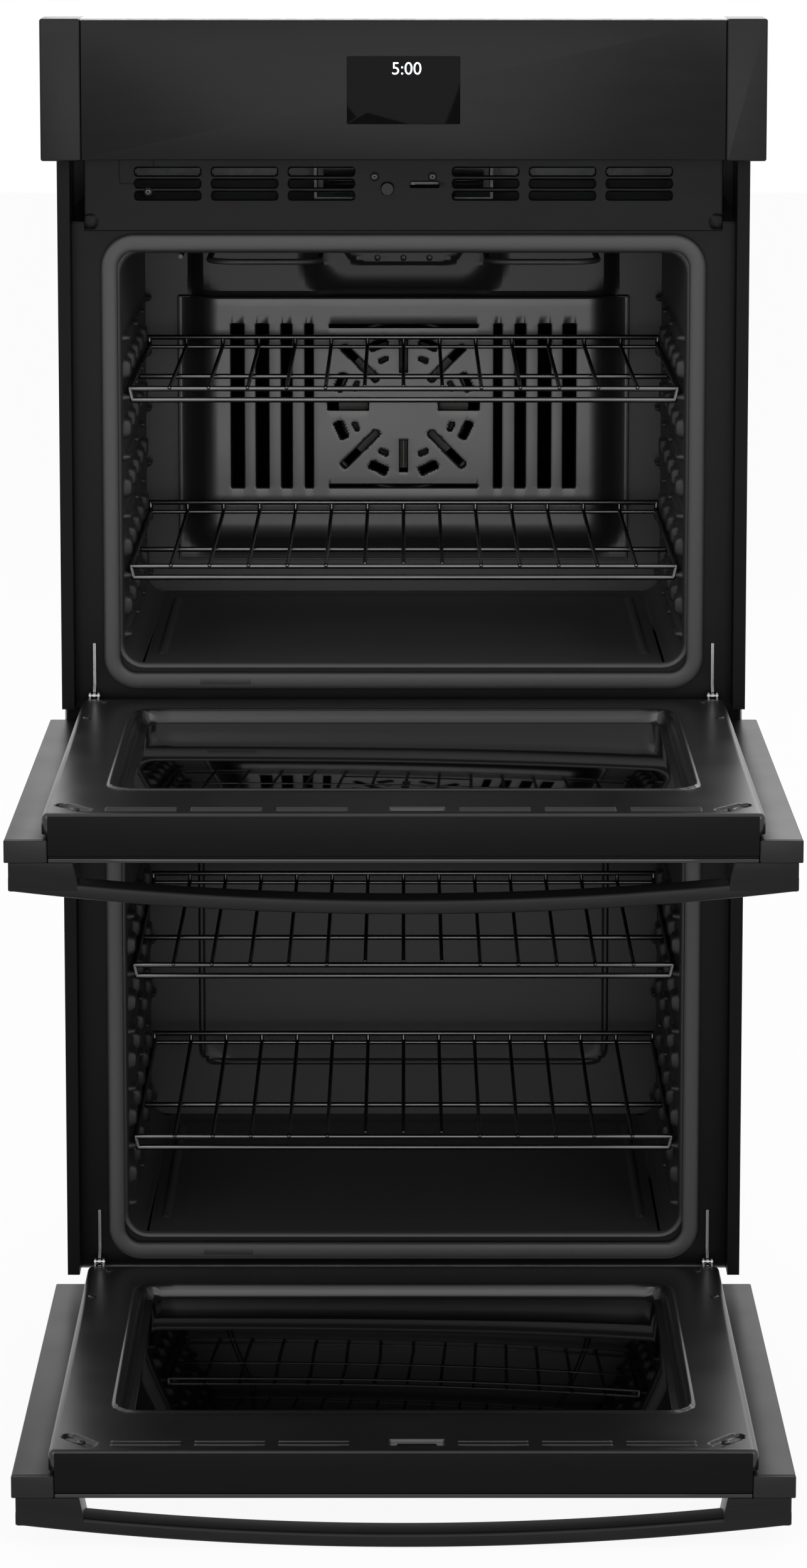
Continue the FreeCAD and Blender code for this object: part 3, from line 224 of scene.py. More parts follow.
GALVANISED = Finish("galvanised_sheet", (0.42, 0.43, 0.445), 0.42, metallic=0.75,
                    grain=Grain.SPANGLE, scale=90, spread=0.12, bump=0.000008)
HEATER = Finish("oxidised_heater_tube", (0.045, 0.042, 0.04), 0.5, metallic=0.6, scale=300,
                bump=0.00005)
MILL_SHEET = Finish("mill_aluminium", (0.55, 0.55, 0.56), 0.34, metallic=1.0, grain=Grain.BRUSHED,
                    scale=1200)
MOTOR_CASE = Finish("zinc_motor_case", (0.33, 0.33, 0.34), 0.4, metallic=0.9, grain=Grain.SPANGLE,
                    scale=160)
FROSTED = Finish("frosted_lamp_glass", (0.75, 0.74, 0.7), 0.35, spread=0.04)
WOOL = Finish("mineral_wool", (0.62, 0.56, 0.4), 0.95, specular=0.2, spread=0.35, grain=Grain.WOOL,
              scale=220, bump=0.0006)
MOULDED = Finish("black_moulding", (0.007, 0.007, 0.0074), 0.42, specular=0.22, grain=Grain.PEEL,
                 scale=500)
LAMINATE = Finish("green_laminate", (0.02, 0.13, 0.05), 0.4, spread=0.2, grain=Grain.PEEL,
                  scale=300)
# Near-black painted shade, laid in screw hollows, behind the cover's louvres, in the door's latch pocket and
# under the door's top trim.
PAINTED_SHADE = Finish("painted_shade_black", (0.002, 0.002, 0.002), 0.6, specular=0.1)


@dataclass(frozen=True)
class Place:
    """Where a piece's own millimetre axes lie in the oven's frame."""

    origin: Triple = (0.0, 0.0, 0.0)
    u: Triple = (1.0, 0.0, 0.0)
    v: Triple = (0.0, 1.0, 0.0)
    n: Triple = (0.0, 0.0, 1.0)

    def world(self, points: np.ndarray) -> np.ndarray:
        """Turn local millimetres into metres of the oven's frame.

        Args:
            points: an array of rows u, v, n.

        Returns:
            The array of rows x, y, z.
        """
        return np.asarray(self.origin) + MM * points @ np.array([self.u, self.v, self.n])


def facing_out(x: float, y: float, z: float) -> Place:
    """Give a place whose sheet faces the viewer's side: u right, v up, n forward.

    Args:
        x: its origin across, in metres.
        y: its origin's depth.
        z: its origin's height.

    Returns:
        The place.
    """
    return Place((x, y, z), (1, 0, 0), (0, 0, 1), (0, -1, 0))


@dataclass(frozen=True)
class Press:
    """One pressed shape of a sheet: a rounded rectangle moved up or down."""

    u: float
    v: float
    half_u: float
    half_v: float
    rise: float
    corner: float = 2.0
    slope: float = 2.0
    turn: float = 0.0
    bead: float = 0.0
    open: bool = False
    fine: float = 0.0

    def distance(self, us: np.ndarray, vs: np.ndarray) -> np.ndarray:
        """Measure how far points lie outside this shape's edge.

        Args:
            us: the points' places across.
            vs: their places along.

        Returns:
            The signed distances, below zero inside.
        """
        angle = math.radians(self.turn)
        du, dv = us - self.u, vs - self.v
        a = np.abs(du * math.cos(angle) + dv * math.sin(angle)) - self.half_u + self.corner
        b = np.abs(-du * math.sin(angle) + dv * math.cos(angle)) - self.half_v + self.corner
        out = np.hypot(np.maximum(a, 0), np.maximum(b, 0)) + np.minimum(np.maximum(a, b), 0) - self.corner
        return np.abs(out) - self.bead / 2 if self.bead else out

    def height(self, us: np.ndarray, vs: np.ndarray) -> np.ndarray:
        """Give how far this shape moves a sheet at some points.

        Args:
            us: the points' places across.
            vs: their places along.

        Returns:
            The heights above the plain sheet.
        """
        part = np.clip(-self.distance(us, vs) / self.slope, 0, 1)
        return self.rise * part * part * (3 - 2 * part)

    def lines(self, along: bool) -> list[float]:
        """List the grid lines that this shape needs one way.

        Args:
            along: whether the lines divide the sheet's v direction.

        Returns:
            Their places.
        """
        middle, half = (self.v, self.half_v) if along else (self.u, self.half_u)
        if self.turn:
            angle = math.radians(self.turn)
            other = self.half_u if along else self.half_v
            half = abs(half * math.cos(angle)) + abs(other * math.sin(angle))
            return list(np.arange(middle - half - 1, middle + half + 1, self.fine or 1.6))
        edges = (half + self.bead / 2, max(half - self.bead / 2, 0.1)) if self.bead else (half,)
        marks = []
        for edge in edges:
            walls = [edge - self.slope * part for part in (0, 0.25, 0.5, 0.75, 1)]
            if self.bead:
                way = 1 if edge < half else -1
                walls = [edge + (self.bead * part) * way for part in (0, 0.17, 0.34, 0.5)]
            marks += [edge + 0.6, *walls]
        marks += [half - self.corner * part for part in (0.15, 0.35, 0.65, 1.0)]
        return [middle + way * mark for way in (-1, 1) for mark in marks]


def grid_lines(span: Span, step: float, marks: Iterable[float], least: float = 0.3) -> np.ndarray:
    """Divide a span at even steps and at marks, leaving out lines too close together.

    Args:
        span: the first and last line.
        step: the widest gap between lines.
        marks: places that want a line.
        least: the smallest gap to keep.

    Returns:
        The sorted places.
    """
    low, high = span
    wanted = sorted(mark for mark in marks if low + least < mark < high - least)
    kept = [low]
    for mark in [*wanted, high]:
        if mark - kept[-1] < least and mark != high:
            continue
        parts = max(1, math.ceil((mark - kept[-1]) / step - 1e-6))
        kept += [kept[-1] + (mark - kept[-1]) * part / parts for part in range(1, parts)] + [mark]
    return np.array(kept)


def round_loop(across: Span, along: Span, corner: float, steps: int = 6,
               marks: Sequence[float] = (), marks_along: Sequence[float] = ()) -> np.ndarray:
    """Walk round a rectangle with rounded corners.

    Args:
        across: its left and right sides.
        along: its lower and upper sides.
        corner: the corners' radius.
        steps: how many pieces each corner has.
        marks: parts of the lower and upper sides, from 0 to 1, that get a point.
        marks_along: the same for the left and right sides.

    Returns:
        The points, as rows of two.
    """
    left, right = across
    low, high = along
    r = max(min(corner, (right - left) / 2 - 0.01, (high - low) / 2 - 0.01), 0.01)
    corners = [(right - r, low + r, -90), (right - r, high - r, 0),
               (left + r, high - r, 90), (left + r, low + r, 180)]
    points = []
    for number, (cu, cv, start) in enumerate(corners):
        arc = [(cu + r * math.cos(math.radians(start + 90 * k / steps)),
                cv + r * math.sin(math.radians(start + 90 * k / steps))) for k in range(steps + 1)]
        points += arc
        following = corners[(number + 1) % 4]
        angle = math.radians(following[2])
        end = (following[0] + r * math.cos(angle), following[1] + r * math.sin(angle))
        parts = marks_along if number in (0, 2) else marks
        ordered = parts if number in (0, 3) else [1 - part for part in reversed(parts)]
        points += [(arc[-1][0] + (end[0] - arc[-1][0]) * part, arc[-1][1] + (end[1] - arc[-1][1]) * part)
                   for part in ordered]
    return np.array(points)


class Maker:
    """Gathers the surfaces of one piece, in millimetres of its own place."""

    def __init__(self, place: Place = Place()) -> None:
        """Start an empty piece.

        Args:
            place: where the piece's own axes lie.
        """
        self.place = place
        self.points: list[np.ndarray] = []
        self.faces: list[tuple[int, ...]] = []
        self.finishes: list[int] = []
        self.count = 0

    def add(self, points: np.ndarray, faces: Iterable[Sequence[int]], finish: int = 0) -> None:
        """Take in points and the faces between them.

        Args:
            points: rows of u, v, n.
            faces: the points of each face, counted from the first new one.
            finish: which of the piece's finishes the faces have.
        """
        new = [tuple(int(i) + self.count for i in face) for face in faces]
        self.faces += new
        self.finishes += [finish] * len(new)
        self.points.append(np.asarray(points, float))
        self.count += len(points)

    def loft(self, rings: Sequence[np.ndarray], caps: tuple[bool, bool] = (True, True), finish: int = 0,
             closed: bool = True, joined: bool = False) -> None:
        """Skin a row of rings that have equal numbers of points.

        Args:
            rings: the rings, each as rows of u, v, n.
            caps: whether the first and last rings are filled.
            finish: which finish the faces have.
            closed: whether each ring closes on itself.
            joined: whether the last ring meets the first.
        """
        size = len(rings[0])
        wide = size if closed else size - 1
        faces: list[Sequence[int]] = []
        for a in range(len(rings) if joined else len(rings) - 1):
            b = (a + 1) % len(rings)
            faces += [(a * size + i, a * size + (i + 1) % size, b * size + (i + 1) % size, b * size + i)
                      for i in range(wide)]
        if caps[0] and not joined:
            faces.append(tuple(reversed(range(size))))
        if caps[1] and not joined:
            faces.append(tuple(range((len(rings) - 1) * size, len(rings) * size)))
        self.add(np.vstack(rings), faces, finish)

    def slab(self, us: Span, vs: Span, ns: Span, edge: float = 1.0, corner: float = 1.0, finish: int = 0,
             steps: int = 3) -> None:
        """Add a plate whose edges and corners are rounded.

        Args:
            us: its extent along u.
            vs: its extent along v.
            ns: its extent along n.
            edge: radius of the edges round its two faces.
            corner: radius of its four corners.
            finish: which finish it has.
            steps: pieces of each rounded edge.
        """
        edge = min(edge, (ns[1] - ns[0]) / 2 - 0.01, (us[1] - us[0]) / 2 - 0.02, (vs[1] - vs[0]) / 2 - 0.02)
        corner = max(corner, edge + 0.02)
        rings = []
        for top in (False, True):
            for k in range(steps + 1):
                angle = math.radians(90 * (k if top else steps - k) / steps)
                inset = edge * (1 - math.cos(angle))
                rise = edge * math.sin(angle)
                level = ns[1] - edge + rise if top else ns[0] + edge - rise
                loop = round_loop((us[0] + inset, us[1] - inset), (vs[0] + inset, vs[1] - inset),
                                  corner - inset, 4)
                rings.append(np.column_stack([loop, np.full(len(loop), level)]))
        self.loft(rings, finish=finish)

    def tube(self, path: Sequence[Triple], radius: float, sides: int = 10, finish: int = 0,
             closed: bool = False, dome: bool = False) -> None:
        """Sweep a round wire along a path.

        Args:
            path: the wire's middle line.
            radius: the wire's radius.
            sides: how many sides stand for round.
            finish: which finish it has.
            closed: whether the wire meets itself.
            dome: whether its ends are rounded.
        """
        line = np.array(path, float)
        count = len(line)
        if closed:
            ways = np.roll(line, -1, 0) - np.roll(line, 1, 0)
        else:
            ways = np.gradient(line, axis=0) if count > 2 else np.repeat([line[-1] - line[0]], count, 0)
        ways /= np.linalg.norm(ways, axis=1)[:, None]
        side = np.cross(ways[0], (0.31, 0.17, 0.93))
        rings = []
        for spot, way in zip(line, ways):
            side = side - way * side.dot(way)
            side /= np.linalg.norm(side)
            other = np.cross(way, side)
            turn = np.linspace(0, 2 * math.pi, sides, endpoint=False)[:, None]
            rings.append(spot + radius * (np.cos(turn) * side + np.sin(turn) * other))
        if dome and not closed:
            ends = []
            for index, sign in ((0, -1), (-1, 1)):
                ends.append([line[index] + sign * ways[index] * radius * math.sin(a)
                             + (rings[index] - line[index]) * math.cos(a) for a in (0.5, 1.0, 1.4)])
            rings = [*reversed(ends[0]), *rings, *ends[1]]
        self.loft(rings, finish=finish, joined=closed)

    def turned(self, centre: Triple, profile: Sequence[Span], sides: int = 20, finish: int = 0,
               axis: str = "n") -> None:
        """Turn a profile about an axis.

        Args:
            centre: the axis's foot.
            profile: rows of radius and height along the axis.
            sides: how many sides stand for round.
            finish: which finish it has.
            axis: the axis's name, u, v or n.
        """
        turn = np.linspace(0, 2 * math.pi, sides, endpoint=False)
        order = {"n": [0, 1, 2], "u": [2, 0, 1], "v": [0, 2, 1]}[axis]
        rings = []
        for radius, level in profile:
            ring = np.column_stack([radius * np.cos(turn), radius * np.sin(turn), np.full(sides, level)])
            rings.append(ring[:, order] + np.array(centre))
        self.loft(rings, finish=finish)

    def sheet(self, us: Span, vs: Span, shapes: Sequence[Press], step: float = 12.0, level: float = 0.0,
              rim: float = 0.0, drop: float = 0.0, finish: int = 0, least: float = 0.3,
              bend: float = 0.0) -> None:
        """Add a pressed sheet as a fine grid, with a folded rim if it has one.

        Args:
            us: its extent along u, to the outside of the rim.
            vs: its extent along v.
            shapes: the shapes pressed into it.
            step: the widest gap between grid lines.
            level: where the plain sheet lies along n.
            rim: radius of the fold round its edge, 0 for none.
            drop: how far the folded rim reaches below the sheet.
            finish: which finish it has.
            least: the smallest gap between grid lines.
            bend: how much its middle stands proud of its upper and lower edges.
        """
        lines_u = grid_lines((us[0] + rim, us[1] - rim), step,
                             [mark for shape in shapes for mark in shape.lines(False)], least)
        lines_v = grid_lines((vs[0] + rim, vs[1] - rim), step,
                             [mark for shape in shapes for mark in shape.lines(True)], least)
        grid_u, grid_v = np.meshgrid(lines_u, lines_v, indexing="ij")
        heights = np.full(grid_u.shape, float(level))
        for shape in shapes:
            heights += shape.height(grid_u, grid_v)
        if bend:
            heights += bend * (1 - ((2 * grid_v - vs[0] - vs[1]) / (vs[1] - vs[0])) ** 2)
        nu, nv = grid_u.shape
        points = np.column_stack([grid_u.ravel(), grid_v.ravel(), heights.ravel()])
        mid_u = (grid_u[:-1, :-1] + grid_u[1:, 1:]) / 2
        mid_v = (grid_v[:-1, :-1] + grid_v[1:, 1:]) / 2
        keep = np.ones(mid_u.shape, bool)
        for shape in shapes:
            if shape.open:
                keep &= shape.distance(mid_u, mid_v) > -shape.slope
        ids = np.arange(nu * nv).reshape(nu, nv)
        faces = np.stack([ids[:-1, :-1], ids[1:, :-1], ids[1:, 1:], ids[:-1, 1:]], -1)[keep]
        self.add(points, faces.tolist(), finish)
        if rim:
            self._rim(ids, points, rim, drop, finish)

    def _rim(self, ids: np.ndarray, points: np.ndarray, rim: float, drop: float, finish: int) -> None:
        """Fold the edge of the sheet that was just added.

        Args:
            ids: the sheet's points by row and column.
            points: the sheet's points.
            rim: radius of the fold.
            drop: how far it reaches down.
            finish: which finish it has.
        """
        sides = [(ids[:, 0], -90), (ids[-1, :], 0), (ids[::-1, -1], 90), (ids[0, ::-1], 180)]
        base, angles = [], []
        for row, angle in sides:
            base += list(row)
            angles += [angle] * len(row)
            base += [row[-1]] * 3
            angles += [angle + 22.5, angle + 45, angle + 67.5]
        start = points[base]
        turns = np.radians(angles)
        ways = np.column_stack([np.cos(turns), np.sin(turns), np.zeros(len(turns))])
        rings = [start + ways * rim * math.sin(a) + np.array([0, 0, -rim * (1 - math.cos(a))])
                 for a in np.radians([0, 18, 36, 54, 72, 90])]
        last = rings[-1].copy()
        last[:, 2] = start[:, 2].mean() - drop
        self.loft([*rings, last], caps=(False, False), finish=finish)

    def screw(self, centre: Triple, radius: float, finish: int = 0, hollow_shade: int = 0, axis: str = "n",
              high: float = 2.0) -> None:
        """Add a pan-head screw with a hollow for the driver.

        Args:
            centre: where its axis meets the surface.
            radius: the head's radius.
            finish: which finish the head has.
            hollow_shade: which finish the hollow's painted shade has.
            axis: its axis's name.
            high: how far the head stands up.
        """
        r, h = radius, high
        self.turned(centre, [(r * 1.0, 0), (r, h * 0.45), (r * 0.86, h * 0.8), (r * 0.6, h), (r * 0.42, h)],
                    finish=finish, axis=axis)
        # The driver hollow is coloured with a dark finish as painted shade.
        self.turned(centre, [(r * 0.42, h * 1.01), (r * 0.36, h * 0.75), (r * 0.3, h * 1.02)], 6, hollow_shade, axis)

    def piece(self, name: str, finishes: Sequence[Finish], body: str, replaces: Sequence[str] = (),
              slot: str = "", sharp: float = 38.0, thick: float = 0.0) -> bpy.types.Object:
        """Make the object, dress it and let it ride on a body.

        Args:
            name: the piece's name.
            finishes: its finishes, in the order its faces count them.
            body: the body that it moves with.
            replaces: the plain nodes that it stands for.
            slot: the record's material slot; not used.
            sharp: the angle above which an edge stays sharp, in degrees.
            thick: sheet thickness to give open surfaces, in millimetres.

        Returns:
            The object.
        """
        mesh = bpy.data.meshes.new(name)
        mesh.from_pydata(self.place.world(np.vstack(self.points)).tolist(), [], self.faces)
        for finish in finishes:
            mesh.materials.append(finish.material())
        mesh.polygons.foreach_set("material_index", self.finishes)
        work = bmesh.new()
        work.from_mesh(mesh)
        bmesh.ops.remove_doubles(work, verts=work.verts, dist=0.000012)
        bmesh.ops.recalc_face_normals(work, faces=work.faces)
        work.to_mesh(mesh)
        work.free()
        mesh.shade_smooth()
        mesh.set_sharp_from_angle(angle=math.radians(sharp))
        made = bpy.data.objects.new(name, mesh)
        bpy.context.scene.collection.objects.link(made)
        if thick:
            skin = made.modifiers.new("sheet", "SOLIDIFY")
            skin.thickness = thick * MM
            skin.offset = -1.0
        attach(made, body)
        if replaces:
            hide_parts(*replaces)
        log.info("%s: %d faces", name, len(mesh.polygons))
        return made


def edges(node: str) -> tuple[Vector, Vector]:
    """Give a node's lowest and highest corners in millimetres.

    Args:
        node: the node's name.

    Returns:
        The two corners.
    """
    low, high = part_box(node)
    return low / MM, high / MM


def dress(node: str, finish: Finish) -> None:
    """Give a plain node its finish.

    Args:
        node: the node's name.
        finish: its finish.
    """
    slots = frame["nodes"][node].material_slots
    if not slots:
        frame["nodes"][node].data.materials.append(finish.material())
    for slot in slots:
        slot.material = finish.material()
    log.info("%s: %s", node, finish.name)


@dataclass
class Studio:
    """The plain floor, the soft lamps and the camera."""

    eye: Triple = (0.0, -4.737, 1.5718)
    tilt: float = 82.45
    lens: float = 103.4
    shift: float = -0.24
    ambient: float = 0.55
    floor_size: float = 30.0
    lamps: tuple[tuple[Triple, float, float], ...] = (
        ((-1.9, -3.4, 3.2), 2.2, 44.0),
        ((2.1, -3.2, 2.8), 2.2, 34.0),
        ((0.0, -4.6, 1.2), 2.4, 40.0),
        ((0.4, 3.4, 3.0), 2.6, 42.0),
    )

    def build(self) -> None:
        """Set up the whole studio."""
        self._camera()
        self._world()
        self._floor()
        for number, (spot, size, power) in enumerate(self.lamps):
            light = bpy.data.lights.new(f"lamp_{number}", "AREA")
            light.energy = power
            light.size = size
            held = bpy.data.objects.new(f"lamp_{number}", light)
            held.location = spot
            held.rotation_euler = (Vector((0, 0, 0.7)) - Vector(spot)).to_track_quat("-Z", "Y").to_euler()
            bpy.context.scene.collection.objects.link(held)

    def _camera(self) -> None:
        """Put the camera in front of the oven."""
        view = bpy.data.cameras.new("camera")
        view.lens, view.sensor_width, view.shift_y = self.lens, 36.0, self.shift
        view.clip_end = 100.0
        held = bpy.data.objects.new("camera", view)
        held.location = self.eye
        held.rotation_euler = (math.radians(self.tilt), 0.0, 0.0)
        bpy.context.scene.collection.objects.link(held)
        bpy.context.scene.camera = held
        bpy.context.scene.view_settings.view_transform = "Standard"

    def _bright(self, tree: bpy.types.NodeTree) -> bpy.types.NodeSocket:
        """Add nodes that tell whether a ray sees the background itself.

        Args:
            tree: the nodes to add to.

        Returns:
            A value of 1 for camera, glossy and transmission rays.
        """
        rays = tree.nodes.new("ShaderNodeLightPath")
        total = rays.outputs["Is Camera Ray"]
        for name in ("Is Glossy Ray", "Is Transmission Ray"):
            most = tree.nodes.new("ShaderNodeMath")
            most.operation = "MAXIMUM"
            tree.links.new(total, most.inputs[0])
            tree.links.new(rays.outputs[name], most.inputs[1])
            total = most.outputs[0]
        return total

    def _world(self) -> None:
        """Make an even pale surround that looks white and lights softly."""
        world = bpy.data.worlds.new("surround")
        world.use_nodes = True
        bpy.context.scene.world = world
        tree = world.node_tree
        strength = tree.nodes.new("ShaderNodeMapRange")
        strength.inputs["To Min"].default_value = self.ambient
        strength.inputs["To Max"].default_value = 1.0
        tree.links.new(self._bright(tree), strength.inputs["Value"])
        sky = tree.nodes["Background"]
        sky.inputs["Color"].default_value = (1.0, 1.0, 1.0, 1.0)
        tree.links.new(strength.outputs["Result"], sky.inputs["Strength"])

    def _floor(self) -> None:
        """Lay the pale floor just under the lowest point."""
        half = self.floor_size / 2
        level = CAD_BOX[0][2] - 0.002
        mesh = bpy.data.meshes.new("floor")
        corners = [(x * half, y * half, level) for x, y in ((-1, -1), (1, -1), (1, 1), (-1, 1))]
        mesh.from_pydata(corners, [], [(0, 1, 2, 3)])
        pale = bpy.data.materials.new("pale_floor")
        pale.use_nodes = True
        tree = pale.node_tree
        matt = tree.nodes["Principled BSDF"]
        matt.inputs["Base Color"].default_value = (0.93, 0.93, 0.93, 1.0)
        matt.inputs["Roughness"].default_value = 0.9
        matt.inputs["Specular IOR Level"].default_value = 0.1
        glow = tree.nodes.new("ShaderNodeEmission")
        blend = tree.nodes.new("ShaderNodeMixShader")
        share = tree.nodes.new("ShaderNodeMath")
        share.operation = "MULTIPLY"
        share.inputs[1].default_value = 0.93
        tree.links.new(self._bright(tree), share.inputs[0])
        tree.links.new(share.outputs[0], blend.inputs["Fac"])
        tree.links.new(matt.outputs[0], blend.inputs[1])
        tree.links.new(glow.outputs[0], blend.inputs[2])
        tree.links.new(blend.outputs[0], tree.nodes["Material Output"].inputs["Surface"])
        mesh.materials.append(pale)
        floor = bpy.data.objects.new("floor", mesh)
        bpy.context.scene.collection.objects.link(floor)


@dataclass
class ControlPanel:
    """The glass control panel with its display and two end caps."""

    cap_edge: float = 1.6
    glass_edge: float = 1.0
    display: tuple[float, float, float, float] = (-59.0, 59.0, 37.5, 108.3)
    digit_height: float = 13.0
    clock: str = "5:00"

    def build(self) -> None:
        """Build the glass, the display, the digits and the caps."""
        low, high = edges("control_glass")
        glass = Maker(facing_out(0, low.y * MM, low.z * MM))
        glass.slab((low.x, high.x), (0, high.z - low.z), (low.y - high.y, 0), self.glass_edge, 1.5)
        glass.piece("control_glass_face", [PANEL_GLASS], "chassis", ["control_glass"], "black_glass")
        left, right, bottom, top = self.display
        screen = Maker(facing_out(0, low.y * MM, low.z * MM))
        screen.slab((left, right), (bottom, top), (-0.5, 0.12), 0.1, 1.2)
        screen.piece("display_window", [DISPLAY_GLASS], "chassis", slot="black_glass")
        self._digits(low)
        self._caps()

    def _digits(self, low: Vector) -> None:
        """Write the clock's plain digits on the display.

        Args:
            low: the glass's lowest corner.
        """
        text = bpy.data.curves.new("clock_digits", "FONT")
        text.body = self.clock
        text.size = self.digit_height * 1.42 * MM
        text.align_x, text.align_y = "CENTER", "CENTER"
        text.extrude = 0.05 * MM
        text.materials.append(DIGITS.material())
        shown = bpy.data.objects.new("clock_digits", text)
        shown.rotation_euler = (math.radians(90), 0, 0)
        shown.location = (3.2 * MM, (low.y - 0.2) * MM, (low.z + self.display[3] - 13.5) * MM)
        bpy.context.scene.collection.objects.link(shown)
        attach(shown, "chassis")

    def _caps(self) -> None:
        """Build the two end caps with their rounded edges."""
        low, high = edges("control_end_caps")
        inner = edges("control_glass")[1].x + 0.2
        caps = Maker(facing_out(0, low.y * MM, low.z * MM))
        for side in (-1, 1):
            span = tuple(sorted((side * inner, side * high.x)))
            caps.slab(span, (0, high.z - low.z), (low.y - high.y, 0), self.cap_edge, 2.4)
        caps.piece("end_caps", [DARK_STEEL], "chassis", ["control_end_caps"], "black_stainless")


@dataclass
class VentPanel:
    """The slotted panel over one oven."""

    node: str
    floor: float
    screws: bool = True
    slots: tuple[float, ...] = (86.5, 167.5, 248.5)
    rows: tuple[float, ...] = (514.0, 501.3, 526.7)
    slot_half: tuple[float, float] = (34.5, 4.2)
    latch: tuple[float, float] = (6.5, 38.1)
    latch_line: float = 513.0

    def build(self) -> None:
        """Press and slot the panel and set its screws."""
        low, high = edges(self.node)
        panel = Maker(facing_out(0, low.y * MM, self.floor * MM))
        span = (low.z - self.floor, high.z - self.floor)
        shapes = []
        for row in self.rows:
            for across in (*self.slots, *(-x for x in self.slots)):
                half_u, half_v = self.slot_half
                shapes.append(Press(across, row, half_u + 1.2, half_v + 1.2, -2.6, 4.8, 1.4, open=True))
        middle = sum(self.latch) / 2
        shapes.append(Press(middle, self.latch_line, 15.8, 3.6, -2.2, 1.5, 0.8, open=True))
        shapes.append(Press(-17, 509, 6.8, 6.8, -2.0, 6.7, 1.2, open=True))
        if self.screws:
            shapes.append(Press(-281.5, 528, 18, 14, -0.6, 1.5, 1.0, bead=1.2))
            shapes += [Press(side * 330.5, 474.3, 9.5, 9.5, 2.2, 9.4, 4) for side in (-1, 1) if span[0] < 468]
        panel.sheet((low.x, high.x), span, shapes, 16, 0, 1.0, 2.6)
        spots = [(-30.5, 521.5), (30.5, 521.5)]
        if self.screws:
            spots.append((-269, 505.5))
        for across, up in spots:
            panel.turned((across, up, 0), [(5, 0), (4.6, 0.7), (3.6, 1.0)], finish=0)
            panel.screw((across, up, 1.0), 3.3, 1, 2, high=1.6)
        panel.piece(f"{self.node}_sheet", [BLACK_PAINT, DARK_SCREW, PAINTED_SHADE], "chassis", [self.node],
                    "black_paint")


